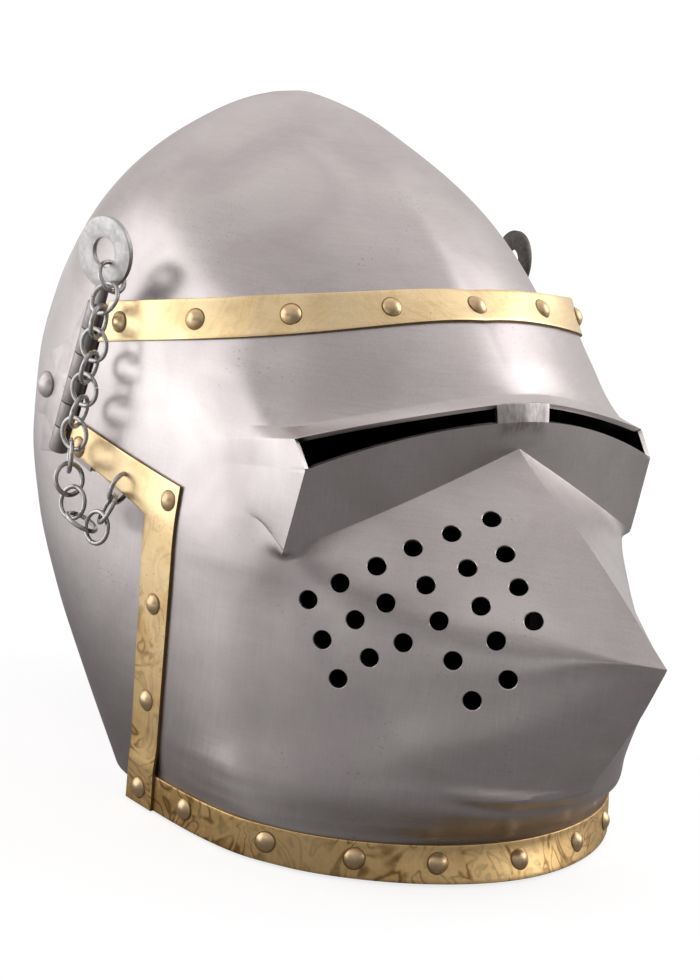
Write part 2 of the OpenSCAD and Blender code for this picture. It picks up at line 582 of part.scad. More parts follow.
module pivot_burr(left) {
    color([0.50, 0.48, 0.47]) placed() difference() {
        intersection() {
            pivot_line(left, pivot_end + 0.5) cylinder(r = pivot_head_r, h = 12);
            under_face(skull_face(true, left));
        }
        pivot_line(left, pivot_end - 5) cylinder(r = pivot_r + 0.05, h = 30);
    }
}
module right_pivot_burr() {
    pivot_burr(false);
}
module left_pivot_burr() {
    pivot_burr(true);
}

// Hinge pin with a shouldered stem, filed flat on its outer side for the washer that is welded there
stem_r = 2.9;
stem_in = 5.5;
stem_flat = 2.5;
washer_turn = -12;
washer_out = stem_flat + washer_t / 2;
module washer_disc(r) {
    rotate([0, 0, washer_turn]) translate([stem_flat, 0, hinge_len + washer_rise]) rotate([0, 90, 0])
        cylinder(r = r, h = washer_t);
}
module hinge_pin(left) {
    color([0.55, 0.53, 0.52]) placed() at_hinge(left) difference() {
        union() {
            translate([0, 0, 0.3]) cylinder(r = pin_r, h = hinge_len);
            translate([0, 0, hinge_len]) cylinder(r = stem_r, h = washer_rise - washer_r + stem_in);
        }
        washer_disc(washer_r);
    }
}
module right_hinge_pin() {
    hinge_pin(false);
}
module left_hinge_pin() {
    hinge_pin(true);
}
module pin_washer(left) {
    color([0.62, 0.61, 0.60]) placed() at_hinge(left) difference() {
        washer_disc(washer_r);
        rotate([0, 0, washer_turn]) translate([-10, 0, hinge_len + washer_rise]) rotate([0, 90, 0])
            cylinder(r = washer_hole_r, h = 30);
    }
}
module right_pin_washer() {
    pin_washer(false);
}
module left_pin_washer() {
    pin_washer(true);
}

// Chain: round rings from the washer down past the barrel and forward to the hole. Their
// centres are evenly spaced along a smooth route, and each ring is turned about its own line.
CHAIN_ROUTE = [
    [105.2, 128.6, 198], [109.5, 125.5, 190], [112, 124, 181], [112.3, 125.5, 167], [112.3, 128.5, 150],
    [112.3, 131.5, 132], [112, 132, 120], [112, 127.5, 109.5], [111.5, 119, 102.5], [110.8, 111.5, 102.5],
    [109, 107.5, 111.5], [103.6, 108.4, 119.4]
];
RING_TURNS = [-10, 105, 30, 105, 30, 105, 30, 105, 60, 0, 105, 15, 90, 120, -20];
function route_point(w, i, t) =
    let (a = w[max(i - 1, 0)], b = w[i], c = w[i + 1], d = w[min(i + 2, len(w) - 1)])
    (2 * b + (c - a) * t + (2 * a - 5 * b + 4 * c - d) * t * t + (3 * b - a - 3 * c + d) * t * t * t) / 2;
function route(w) = concat([for (i = [0 : len(w) - 2], k = [0 : 19]) route_point(w, i, k / 20)], [w[len(w) - 1]]);
function next_sample(c, q, pitch, i) =
    i >= len(c) || norm(c[i] - q) >= pitch ? i : next_sample(c, q, pitch, i + 1);
function between(a, b, q, pitch) =
    lerp(a, b, (pitch - norm(a - q)) / (norm(b - q) - norm(a - q)));
function walk(c, pitch, count, places, i = 1) =
    len(places) == count ? places
    : let (q = places[len(places) - 1], k = next_sample(c, q, pitch, i))
        k >= len(c) ? places : walk(c, pitch, count, concat(places, [between(c[k - 1], c[k], q, pitch)]), k);
function best_pitch(c, count, low, high, tries = 24) =
    tries == 0 ? low
    : let (m = (low + high) / 2)
        len(walk(c, m, count, [c[0]])) == count ? best_pitch(c, count, m, high, tries - 1)
        : best_pitch(c, count, low, m, tries - 1);
chain_route = route([for (p = CHAIN_ROUTE) scaled(p)]);
ring_places = walk(chain_route, best_pitch(chain_route, len(RING_TURNS), 5, 14), len(RING_TURNS), [chain_route[0]]);
washer_middle = hinge_foot + (hinge_len + washer_rise) * [0, -sin(hinge_lean), cos(hinge_lean)]
    + washer_out * [cos(washer_turn), sin(washer_turn) * cos(hinge_lean), sin(washer_turn) * sin(hinge_lean)];
function ring_axis(k) =
    let (last = len(RING_TURNS) - 1, a = RING_TURNS[k],
        t = k == 0 ? unit(washer_middle - ring_places[0]) : k == last ? unit([0, -12, 56])
            : unit(ring_places[k + 1] - ring_places[k - 1]),
        e = k == 0 ? unit(cross([1, 0, 0], t)) : k == last ? unit([0, 56, 12]) : unit(cross(t, [1, 0, 0])))
    unit(cos(a) * e + sin(a) * cross(t, e));
module ring() {
    rotate_extrude() translate([ring_r, 0]) circle(wire_r, $fn = 16);
}
module chain(left) {
    color([0.72, 0.71, 0.70]) placed() on_side(left) for (k = [0 : len(ring_places) - 1])
        stand_on(ring_places[k], ring_axis(k)) ring();
}
module right_chain() {
    chain(false);
}
module left_chain() {
    chain(true);
}

skull();
visor_plate();
top_band();
bottom_band();
right_side_band();
left_side_band();
top_band_rivets();
bottom_band_rivets();
right_side_rivets();
left_side_rivets();
right_front_leaf();
left_front_leaf();
right_rear_leaf();
left_rear_leaf();
right_pivot_rivet();
left_pivot_rivet();
right_pivot_spacer();
left_pivot_spacer();
right_pivot_burr();
left_pivot_burr();
right_hinge_pin();
left_hinge_pin();
right_pin_washer();
left_pin_washer();
right_chain();
left_chain();
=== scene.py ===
# %% [markdown]
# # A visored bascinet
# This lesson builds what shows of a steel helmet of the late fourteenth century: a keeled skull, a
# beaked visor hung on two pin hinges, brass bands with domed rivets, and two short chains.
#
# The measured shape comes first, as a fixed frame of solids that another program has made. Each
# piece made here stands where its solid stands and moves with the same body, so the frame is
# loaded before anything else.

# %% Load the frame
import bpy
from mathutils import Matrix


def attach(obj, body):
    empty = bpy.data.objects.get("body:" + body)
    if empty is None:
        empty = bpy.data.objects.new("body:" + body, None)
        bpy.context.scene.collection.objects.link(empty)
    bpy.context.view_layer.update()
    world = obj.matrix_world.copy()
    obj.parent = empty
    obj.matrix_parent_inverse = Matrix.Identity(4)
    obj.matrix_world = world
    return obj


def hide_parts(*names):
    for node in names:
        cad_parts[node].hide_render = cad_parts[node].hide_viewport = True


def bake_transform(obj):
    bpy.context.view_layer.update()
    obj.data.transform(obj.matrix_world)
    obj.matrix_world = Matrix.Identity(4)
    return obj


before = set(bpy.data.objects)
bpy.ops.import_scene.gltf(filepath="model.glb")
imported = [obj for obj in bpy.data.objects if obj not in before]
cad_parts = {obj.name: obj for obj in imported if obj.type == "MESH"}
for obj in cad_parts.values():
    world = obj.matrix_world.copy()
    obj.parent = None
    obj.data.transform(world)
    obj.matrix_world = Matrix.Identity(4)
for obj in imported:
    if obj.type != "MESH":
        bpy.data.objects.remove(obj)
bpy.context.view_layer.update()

# %% [markdown]
# ## The words used all through
# Blender's own tools do the shaping, so the script needs only its mesh module, vectors, and a few
# functions for angles. Sizes are written in millimetres, with Y counted back from the brow, as on
# a workshop drawing, and `at` turns them into metres of the frame. X grows towards the wearer's
# left and Z upwards.

# %% Imports and units
import random
from math import acos, asin, atan2, cos, exp, hypot, pi, radians, sin
import bmesh
import bpy
from mathutils import Matrix, Vector
from mathutils.bvhtree import BVHTree

MM = 0.001
MIDDLE_Y = 78.8


def at(x, y, z):
    return Vector((x, y - MIDDLE_Y, z)) * MM


print("the brow is at", [round(c, 4) for c in at(0, 0, 0)], "metres")

# %% [markdown]
# ## Camera
# The photograph looks slightly down at the helmet from the wearer's right front. A long lens from
# a little over a metre keeps the beak from growing too large. Three directions, to the right, up
# and back, make the camera's turn exactly, where three angles would be harder to read.

# %% Camera
CAMERA_PLACE = (-0.6873, -0.8019, 0.3618)
picture_right = Vector((0.7782, -0.6129, 0.1371)).normalized()
picture_up = Vector((0.0337, 0.2587, 0.9654)).normalized()
picture_back = picture_right.cross(picture_up)
camera_data = bpy.data.cameras.new("photo_camera")
camera_data.lens = 99.18
camera_data.sensor_width = 36
camera_data.clip_end = 60
camera = bpy.data.objects.new("photo_camera", camera_data)
bpy.context.collection.objects.link(camera)
turn = Matrix((picture_right, picture_up, picture_back)).transposed().to_4x4()
camera.matrix_world = Matrix.Translation(CAMERA_PLACE) @ turn
bpy.context.scene.camera = camera
bpy.context.scene.view_settings.view_transform = "Standard"
print("camera stands", round(camera.location.length, 3), "m from the origin")

# %% [markdown]
# ## Shader helpers
# A material is a small graph. It could be drawn in the node editor, but a graph written down can be
# read and changed line by line. `node` adds one box to it and gives its sockets numbers or links.
# `maths`, `blend_colour` and `spread` are the three joints that are wanted most often: a sum or a
# product, a mix of two colours, and one range of numbers stretched onto another.

# %% Node helpers


def node(tree, kind, sockets=None, **settings):
    made = tree.nodes.new(kind)
    for name, value in settings.items():
        setattr(made, name, value)
    for name, value in (sockets or {}).items():
        if isinstance(value, bpy.types.NodeSocket):
            tree.links.new(value, made.inputs[name])
        else:
            made.inputs[name].default_value = value
    return made


def maths(tree, operation, a, b=0.0):
    return node(tree, "ShaderNodeMath", {0: a, 1: b}, operation=operation).outputs[0]


def product(tree, a, b):
    return maths(tree, "MULTIPLY", a, b)


def blend_colour(tree, factor, a, b, kind="MIX"):
    mix = node(tree, "ShaderNodeMix", {"Factor": factor}, data_type="RGBA", blend_type=kind)
    colour_a, colour_b = [s for s in mix.inputs if s.name in ("A", "B") and s.type == "RGBA"]
    for socket, value in ((colour_a, a), (colour_b, b)):
        if isinstance(value, bpy.types.NodeSocket):
            tree.links.new(value, socket)
        else:
            socket.default_value = (*value, 1)
    return [s for s in mix.outputs if s.type == "RGBA"][0]


def spread(tree, value, low, high, to_low=0.0, to_high=1.0, smooth=False):
    kind = "SMOOTHSTEP" if smooth else "LINEAR"
    return node(tree, "ShaderNodeMapRange", {"Value": value, "From Min": low, "From Max": high,
                "To Min": to_low, "To Max": to_high}, interpolation_type=kind).outputs["Result"]


print("shader helpers:", [helper.__name__ for helper in (node, maths, product, blend_colour, spread)])

# %% [markdown]
# ## Studio
# Polished metal shows what stands round it, so the studio matters as much as the metal. The
# photograph was made against white, with large soft lamps to both sides and a dim room behind the
# photographer. The camera sees a white world. Reflections see it bright behind the helmet, grey
# towards the camera and a little brighter overhead, with a trace of warmth, by direction only.
# All other rays find a plain even level.

# %% World
EVEN_LEVEL = 0.33
forward = -Vector((picture_back.x, picture_back.y, 0)).normalized()
world = bpy.data.worlds.new("studio")
bpy.context.scene.world = world
world.use_nodes = True
sky = world.node_tree
sky.nodes.clear()


def along_way(tree, vector, way):
    found = node(tree, "ShaderNodeVectorMath", {0: vector, 1: tuple(way)}, operation="DOT_PRODUCT")
    return found.outputs["Value"]


looking = node(sky, "ShaderNodeTexCoord").outputs["Generated"]
height = node(sky, "ShaderNodeSeparateXYZ", {0: looking}).outputs["Z"]
room = maths(sky, "ADD", spread(sky, along_way(sky, looking, forward), -0.7, 0.9, 0.25, 0.72, smooth=True),
             spread(sky, height, 0.0, 0.75, 0.0, 0.34, smooth=True))
rays = node(sky, "ShaderNodeLightPath").outputs
seen = maths(sky, "MAXIMUM", rays["Is Camera Ray"], rays["Is Transmission Ray"])
reflected = product(sky, rays["Is Glossy Ray"], room)
others = maths(sky, "SUBTRACT", 1.0, maths(sky, "MAXIMUM", seen, rays["Is Glossy Ray"]))
strength = maths(sky, "ADD", maths(sky, "ADD", seen, reflected), product(sky, others, EVEN_LEVEL))
warmth = blend_colour(sky, rays["Is Glossy Ray"], (1, 1, 1), (1, 0.96, 0.955))
backdrop = node(sky, "ShaderNodeBackground", {"Color": warmth, "Strength": strength})
node(sky, "ShaderNodeOutputWorld", {"Surface": backdrop.outputs[0]})
print("the world takes", len(sky.nodes), "nodes")

# %% [markdown]
# Soft lamps are large rectangles. Each one looks at the middle of the helmet. One stands low at the
# wearer's right and a little behind, and gives the bright patches on that side of the skull and
# cheek. A stronger one, high at the left, lights the keel and the brow. Two weak ones fill in from
# above and from the right front.

# %% Lamps
# place, width and height in metres, watts
LAMPS = {
    "right_softbox": ((-0.64, 0.47, 0.31), (0.85, 0.66), 2.6),
    "left_softbox": ((0.84, -0.39, 0.61), (0.85, 0.85), 4.8),
    "top_softbox": ((0.1, 0.35, 1.6), (1.3, 1.0), 0.3),
    "front_fill": ((-1.0, -0.35, 1.1), (1.0, 0.9), 0.65),
}
HELMET_MIDDLE = Vector((0, 0, 0.14))
for name, (place, size, watts) in LAMPS.items():
    data = bpy.data.lights.new(name, "AREA")
    data.shape = "RECTANGLE"
    data.size, data.size_y = size
    data.energy = watts
    lamp = bpy.data.objects.new(name, data)
    bpy.context.collection.objects.link(lamp)
    away = (Vector(place) - HELMET_MIDDLE).normalized()
    lamp.matrix_world = Matrix.Translation(place) @ away.to_track_quat("Z", "Y").to_matrix().to_4x4()
    lamp.visible_camera = False
print(len(LAMPS), "lamps give", round(sum(lit[2] for lit in LAMPS.values()), 2), "W")

# %% [markdown]
# ## Floor
# A wide pale floor takes the helmet's shadow. What the camera sees of it is lifted, so that it runs
# out to white without any extra light on the metal. Reflections see the same lift behind the helmet
# and at the wearer's right, where the lamps light the floor of a real studio, and none in front,
# where the photographer stands.

# %% Floor
FLOOR_RADIUS = 14
floor_mesh = bmesh.new()
bmesh.ops.create_circle(floor_mesh, cap_ends=True, segments=96, radius=FLOOR_RADIUS)
floor_data = bpy.data.meshes.new("floor")
floor_mesh.to_mesh(floor_data)
floor_mesh.free()
floor = bpy.data.objects.new("floor", floor_data)
bpy.context.collection.objects.link(floor)
print("the floor is", 2 * FLOOR_RADIUS, "m wide")

# %% Floor paint
TO_RIGHT = (-0.86, 0.51, 0)
floor_paint = bpy.data.materials.new("pale_floor")
floor_paint.use_nodes = True
tree = floor_paint.node_tree
tree.nodes.clear()
floor_place = node(tree, "ShaderNodeTexCoord").outputs["Object"]
floor_rays = node(tree, "ShaderNodeLightPath").outputs
floor_seen = maths(tree, "MAXIMUM", floor_rays["Is Camera Ray"], floor_rays["Is Transmission Ray"])
pool_behind = spread(tree, along_way(tree, floor_place, forward), 0.0, 1.2, 0.0, 0.55, smooth=True)
pool_right = spread(tree, along_way(tree, floor_place, TO_RIGHT), 0.12, 0.48, 0.0, 0.95, smooth=True)
pool = maths(tree, "MAXIMUM", pool_behind, pool_right)
floor_shown = maths(tree, "MAXIMUM", floor_seen, product(tree, floor_rays["Is Glossy Ray"], pool))
far = node(tree, "ShaderNodeVectorMath", {0: floor_place}, operation="LENGTH").outputs["Value"]
lift = product(tree, floor_shown, spread(tree, far, 0.3, 2.0, 0.78, 0.96, smooth=True))
glow = node(tree, "ShaderNodeEmission", {"Color": (1, 1, 1, 1), "Strength": lift})
chalk = node(tree, "ShaderNodeBsdfDiffuse", {"Color": (0.425, 0.412, 0.41, 1)})
both = node(tree, "ShaderNodeAddShader", {0: chalk.outputs[0], 1: glow.outputs[0]})
node(tree, "ShaderNodeOutputMaterial", {"Surface": both.outputs[0]})
floor_data.materials.append(floor_paint)
print("the floor's paint takes", len(tree.nodes), "nodes")

# %% [markdown]
# ## Hand finish of metal
# All the metal here was finished by hand with abrasive, so three effects return in each material:
# fine scratches in two crossing directions, soft clouds left by hammer and heat, and a few small
# pits. They are built once as a group of nodes. Its numbers are in metres, because it reads object
# coordinates, and every piece keeps its place in its mesh.

# %% Sockets of the hand finish
hand_finish = bpy.data.node_groups.new("hand_finish", "ShaderNodeTree")
hand_finish.interface.new_socket("Vector", in_out="INPUT", socket_type="NodeSocketVector")
for name, usual in (("Cloud Size", 22.0), ("Pits", 0.4)):
    socket = hand_finish.interface.new_socket(name, in_out="INPUT", socket_type="NodeSocketFloat")
    socket.default_value = usual
for name in ("Scratches", "Clouds", "Pits", "Waves"):
    hand_finish.interface.new_socket(name, in_out="OUTPUT", socket_type="NodeSocketFloat")
given = hand_finish.nodes.new("NodeGroupInput").outputs
result = hand_finish.nodes.new("NodeGroupOutput").inputs
print("the hand finish gives", [socket.name for socket in result if socket.name])

# %% [markdown]
# A scratch is a noise that is drawn out along one axis: `stretched` squeezes the coordinates that
# way before the noise reads them. Pits are the middles of small cells, kept only where a second
# and larger noise is high, so that they come in groups, as rust leaves them.

# %% Scratches, clouds, waves and pits
LINE_SIZE, WAVE_SIZE, PIT_SIZE, PIT_GROUP_SIZE = 1400.0, 26.0, 420.0, 35.0


def noise(tree, vector, size, detail, **more):
    sockets = {"Vector": vector, "Scale": size, "Detail": detail, **more}
    return node(tree, "ShaderNodeTexNoise", sockets).outputs[0]


def stretched(tree, vector, size, squeeze):
    drawn = node(tree, "ShaderNodeVectorMath", {0: vector, 1: squeeze}, operation="MULTIPLY")
    return noise(tree, drawn.outputs[0], size, 2.0, Roughness=0.6)


upright = stretched(hand_finish, given["Vector"], LINE_SIZE, (1, 1, 0.05))
level = stretched(hand_finish, given["Vector"], LINE_SIZE, (0.05, 0.05, 1))
crossed = maths(hand_finish, "ADD", product(hand_finish, upright, 0.55),
                product(hand_finish, level, 0.45))
clouds = noise(hand_finish, given["Vector"], given["Cloud Size"], 4.0, Roughness=0.55, Distortion=0.6)
waves = noise(hand_finish, given["Vector"], WAVE_SIZE, 1.0)
grit = node(hand_finish, "ShaderNodeTexVoronoi", {"Vector": given["Vector"], "Scale": PIT_SIZE})
groups = noise(hand_finish, given["Vector"], PIT_GROUP_SIZE, 2.0)
pits = product(hand_finish, spread(hand_finish, grit.outputs["Distance"], 0.10, 0.22, 1.0, 0.0),
               spread(hand_finish, groups, 0.56, 0.66))
pits = product(hand_finish, pits, given["Pits"])
for name, value in (("Scratches", crossed), ("Clouds", clouds), ("Pits", pits), ("Waves", waves)):
    hand_finish.links.new(value, result[name])
print("the hand finish takes", len(hand_finish.nodes), "nodes")

# %% [markdown]
# `metal` makes one material from that group: a base colour with a second tint in the clouds, a
# darker colour for pits, and a roughness that the scratches vary. The height of the bump is a small
# part of a millimetre. A finish that needs more of its own hands in a function, `extra`, which may
# change the colour and the roughness before they reach the shader.

# %% Metal
WAVE_HEIGHT, SCRATCH_HEIGHT = 0.5 * MM, 0.02 * MM


def metal(name, base, tint, dark, rough, cloud=22.0, pits=0.4, extra=None):
    made = bpy.data.materials.new(name)
    made.use_nodes = True
    tree = made.node_tree
    tree.nodes.clear()
    where = node(tree, "ShaderNodeTexCoord").outputs["Object"]
    hand = node(tree, "ShaderNodeGroup", node_tree=hand_finish)
    tree.links.new(where, hand.inputs["Vector"])
    hand.inputs["Cloud Size"].default_value = cloud
    hand.inputs["Pits"].default_value = pits
    patch = spread(tree, hand.outputs["Clouds"], 0.35, 0.65)
    lines = spread(tree, hand.outputs["Scratches"], 0.35, 0.65, 0.93, 1.05)
    grey = node(tree, "ShaderNodeCombineColor", {0: lines, 1: lines, 2: lines}).outputs[0]
    colour = blend_colour(tree, 1.0, blend_colour(tree, patch, base, tint), grey, "MULTIPLY")
    colour = blend_colour(tree, hand.outputs["Pits"], colour, dark)
    roughness = maths(tree, "ADD", spread(tree, hand.outputs["Scratches"], 0.3, 0.7, -0.04, 0.05),
                      spread(tree, patch, 0, 1, rough - 0.03, rough + 0.03))
    relief = maths(tree, "ADD", product(tree, hand.outputs["Waves"], WAVE_HEIGHT),
                   product(tree, hand.outputs["Scratches"], SCRATCH_HEIGHT))
    if extra:
        colour, roughness = extra(tree, where, hand.outputs["Clouds"], colour, roughness)
    bump = node(tree, "ShaderNodeBump", {"Height": relief, "Strength": 1.0, "Distance": 1.0})
    shader = node(tree, "ShaderNodeBsdfPrincipled", {"Base Color": colour, "Metallic": 1.0,
                  "Roughness": roughness, "Normal": bump.outputs[0]})
    node(tree, "ShaderNodeOutputMaterial", {"Surface": shader.outputs[0]})
    return made


# %% [markdown]
# ## Steel
# The outside of the plates is polished and a little warm. The bridge between the two sights was
# filed and never polished as far as the rest. An attribute of the visor's mesh, "filed", marks
# that place, and `ground` makes it duller there and adds the marks of the file.

# %% Plate steel
FILE_MARK, FILED_DULLER = (0.25, 0.23, 0.225), 0.16


def ground(tree, where, cloud, colour, roughness):
    filed = node(tree, "ShaderNodeAttribute", attribute_name="filed").outputs["Fac"]
    marks = spread(tree, stretched(tree, where, 700.0, (1, 1, 0.25)), 0.35, 0.62, 0.3, 0.8)
    colour = blend_colour(tree, product(tree, filed, marks), colour, FILE_MARK)
    return colour, maths(tree, "ADD", roughness, product(tree, filed, FILED_DULLER))


plate_steel = metal("plate_steel", (0.565, 0.528, 0.52), (0.485, 0.44, 0.44), (0.16, 0.13, 0.12),
                    0.33, extra=ground)
print("plate steel takes", len(plate_steel.node_tree.nodes), "nodes")

# %% [markdown]
# The inside of the plates is painted nearly black, as shade in the hollow of the helmet. The small parts
# differ from one another: the hinge leaves are duller than the plates, their knuckles take a darker copy of
# that steel as painted shade, and the washers have a fine mottled skin. The washer on the wearer's left takes
# a darker copy of the washer steel, painted shade for where it stands behind the skull. The rings of the
# chains are bright from rubbing on each other.

# %% Steel of the small parts
# painted shade: the nearly black inside stands for the shade in the helmet's hollow
shaded_inner_steel = metal("shaded_inner_steel", (0.045, 0.041, 0.039), (0.03, 0.028, 0.026), (0.02, 0.02, 0.02),
                    0.6, pits=0.2)
hinge_steel = metal("hinge_steel", (0.50, 0.46, 0.455), (0.44, 0.40, 0.40), (0.12, 0.10, 0.09),
                    0.40, cloud=140.0, pits=0.8)
# painted shade: a darker copy of the hinge steel for the knuckles
shaded_knuckle_steel = metal("shaded_knuckle_steel", (0.33, 0.30, 0.295), (0.26, 0.235, 0.23), (0.10, 0.08, 0.07),
                      0.42, cloud=140.0, pits=0.8)
washer_steel = metal("washer_steel", (0.49, 0.48, 0.475), (0.38, 0.37, 0.365), (0.12, 0.11, 0.10),
                     0.48, cloud=330.0, pits=1.0)
# painted shade: a darker copy of the washer steel for the left washer, in shade behind the skull
shaded_washer_steel = metal("shaded_washer_steel", (0.17, 0.16, 0.15), (0.12, 0.11, 0.10),
                          (0.06, 0.05, 0.05), 0.55, cloud=330.0, pits=1.0)
chain_steel = metal("chain_steel", (0.50, 0.49, 0.485), (0.40, 0.39, 0.385), (0.2, 0.18, 0.17),
                    0.28, cloud=260.0, pits=0.0)
small_part_steels = (shaded_inner_steel, hinge_steel, shaded_knuckle_steel, washer_steel, shaded_washer_steel, chain_steel)
print("steels of the small parts:", [made.name for made in small_part_steels])

# %% [markdown]
# ## Brass
# The bands are thin sheet brass. It has darkened in clouds, and along thin wandering lines where
# damp has dried. The lines come from a distorted noise whose values are folded back and forth, so
# that each fold leaves a closed loop. All this is strong near the rim and faint from the hinges up,
# so a mask over the height, `low`, governs it.
#
# The cut edges of the bands and the feet of the rivet heads get a dark brass of their own, painted shade for
# the thin dark line where brass meets the plate.

# %% Brass
FOLD = 0.075
WARM_CAST, BROWN, VEIN = (1.0, 0.87, 0.64), (0.46, 0.26, 0.085), (0.22, 0.12, 0.035)


def stains(tree, where, cloud, colour, roughness):
    drift = noise(tree, where, 30.0, 2.0, Distortion=2.4)
    loops = maths(tree, "DIVIDE", maths(tree, "PINGPONG", drift, FOLD), FOLD)
    veins = product(tree, spread(tree, loops, 0.0, 0.6, 0.85, 0.0, smooth=True),
                    spread(tree, cloud, 0.42, 0.6, 0.3, 1.0, smooth=True))
    brown = spread(tree, cloud, 0.48, 0.72, 0.0, 0.7, smooth=True)
    above = node(tree, "ShaderNodeSeparateXYZ", {0: where}).outputs["Z"]
    low = spread(tree, above, 0.02, 0.13, 1.0, 0.14, smooth=True)
    colour = blend_colour(tree, product(tree, low, 0.8), colour, WARM_CAST, "MULTIPLY")
    colour = blend_colour(tree, product(tree, brown, low), colour, BROWN)
    colour = blend_colour(tree, product(tree, veins, low), colour, VEIN)
    return colour, maths(tree, "ADD", roughness, product(tree, low, 0.12))


band_brass = metal("band_brass", (0.89, 0.71, 0.44), (0.84, 0.64, 0.36), (0.25, 0.15, 0.06),
                   0.32, cloud=45.0, extra=stains)
# painted shade: dark brass for band edges and rivet feet, where brass meets plate
edge_shade_brass = metal("edge_shade_brass", (0.28, 0.19, 0.09), (0.22, 0.14, 0.06), (0.12, 0.08, 0.03),
                   0.5, cloud=90.0)
rivet_brass = metal("rivet_brass", (0.74, 0.56, 0.34), (0.62, 0.45, 0.26), (0.24, 0.16, 0.09),
                    0.36, cloud=220.0, pits=0.5)
print("band brass takes", len(band_brass.node_tree.nodes), "nodes")

# %% [markdown]
# ## The visor's surface
# The visor was raised from one sheet, and a few curves across it hold its whole shape: the top
# edge, the lip over the sights, the ledge under them, the two lines of the beak and the rim. Each
# row below is one of those curves, from the centre line to the temple and on to the rear edge. It
# could also be sculpted by hand, but rows of numbers can be compared with the photograph one by
# one, and they give both sides of the face at once.

# %% Rows of the visor
# centre y, z, angle; temple x, y, z, angle before and after; rear y, z; arch; crease
VISOR_ROWS = [
    (42.5, 211.5, 0, 74, 61.5, 205.5, 38, 52, 131.5, 188, 1, 0),
    (30.5, 202, 1, 77.8, 55.5, 191, 38, 54, 135.5, 171, 1, 0),
    (17, 190, 1, 83.8, 47.8, 176, 36, 58, 139, 157, 1, 0),
    (5.5, 179.6, 3, 85.6, 32, 162, 26, 66, 142.5, 144, 1, 0.55),
    (0, 177.5, 6, 88.5, 24.7, 159.7, 18, 68, 144, 138, 1.5, 1),
    (-2.5, 171, 12, 88, 16.8, 150, 14, 76, 147.5, 126, 4, 1),
    (0.5, 160, 8, 89, 22, 118, 22, 68, 91.5, 114, 0, 0.65),
    (-45, 134, 40, 89, 26, 108, 54, 62, 91, 102, 0, 0),
    (-92.4, 102.5, 56, 89.5, 28, 96, 60, 63, 90.5, 90, 0, 1),
    (-92, 101, 58, 90, 27, 60, 60, 63, 89, 60, 0, 1),
    (-83, 80, 42, 90, 24, 42, 58, 64, 88, 42, 0, 0),
    (-72, 60, 30, 90, 20, 33, 57, 65, 87.5, 33, 0, 0),
    (-60, 43, 14, 89.5, 17, 26, 56, 65, 87, 26, 0, 0),
    (-43, 28, 6, 89, 14, 20, 54, 66, 86.5, 20, 0, 0),
    (-31, 15, 0, 88, 11, 15, 53, 66, 86, 15, 0, 0),
    (-36.8, 1, 0, 87, 8, 1, 52, 66, 86, 1, 0, 1),
]
row_columns = list(zip(*VISOR_ROWS))
CREASE = 11
LIP, LEDGE, RIM = 4, 5, 15
print("the visor has", len(VISOR_ROWS), "rows, from", max(row_columns[1]), "mm down to", min(row_columns[1]))

# %% [markdown]
# A smooth curve leads from row to row. At each row its slope is the harmonic mean of the slopes
# before and after, and level where they change sign, so it never overshoots, where a common spline
# would ripple the plate. Where the steel is creased, each side keeps more of its own slope instead,
# and the curve breaks.

# %% Curves through numbers


def smooth(x, low, high):
    t = min(max((x - low) / (high - low), 0), 1)
    return t * t * (3 - 2 * t)


def secant(s, p, k):
    return (p[k + 1] - p[k]) / (s[k + 1] - s[k])


def slope(s, p, k, after=False, crease=0.0):
    if k in (0, len(s) - 1):
        return secant(s, p, 0 if k == 0 else k - 1)
    a, b = secant(s, p, k - 1), secant(s, p, k)
    mean = 0 if a * b <= 0 else 2 * a * b / (a + b)
    return mean + ((b if after else a) - mean) * crease


def hermite(p, q, m, n, t):
    return ((2 * t**3 - 3 * t**2 + 1) * p + (t**3 - 2 * t**2 + t) * m
            + (3 * t**2 - 2 * t**3) * q + (t**3 - t**2) * n)


def through(s, p, x):
    k = max([i for i in range(len(s) - 1) if s[i] <= x], default=0)
    h = s[k + 1] - s[k]
    t = min(max((x - s[k]) / h, 0), 1)
    return hermite(p[k], p[k + 1], slope(s, p, k) * h, slope(s, p, k + 1) * h, t)


stations = [0.0]
for one, two in zip(VISOR_ROWS, VISOR_ROWS[1:]):
    centre_gap = Vector(one[0:2]) - Vector(two[0:2])
    temple_gap = Vector(one[3:6]) - Vector(two[3:6])
    stations.append(stations[-1] + (centre_gap.length + temple_gap.length) / 2)
print("the visor's rows span", round(stations[-1]), "mm")

# %% [markdown]
# A place on the visor is a pair (u, v): v counts the rows, and u runs from the centre line at 0 by
# the temple at 1 to the rear edge at 2, positive on the wearer's left.
#
# The creases don't run on for ever. The lip and the ledge end in the cheek a finger's breadth
# behind the sight: there `wing_end` passes their three rows over into rows that leave them out, and
# rounds the end of that passage, so that no second crease comes where it stops. The other creases
# in the upper face fade behind the temple, and the two lines of the beak fade a short way from the
# centre line.

# %% Where the creases fade
REAR_EDGE = (8, 9)
CREASED = (4, 5, 6)
WING_ROUND = 0.3
plain_rows = [k for k in range(len(VISOR_ROWS)) if k not in CREASED]
plain_stations = [stations[k] for k in plain_rows]
plain_columns = []
for column in row_columns[:CREASE]:
    kept_values = [column[k] for k in plain_rows]
    plain_columns.append([through(plain_stations, kept_values, s) for s in stations])


def wing_end(u, v):
    width = 0.16 * (1 - min(max(v - LEDGE, 0), 1) ** 3) + 0.14 + 0.1 * smooth(v, 6, 7)
    t = (abs(u) - 1) / width
    if t < 1 - WING_ROUND:
        return max(t, 0)
    return 1 - max(1 + WING_ROUND - t, 0) ** 2 / (4 * WING_ROUND)


print("at u = 1.2 the crease of the lip is", round(wing_end(1.2, LIP), 2), "gone")

# %% One row at any height
LAST_UPPER_ROW = 6


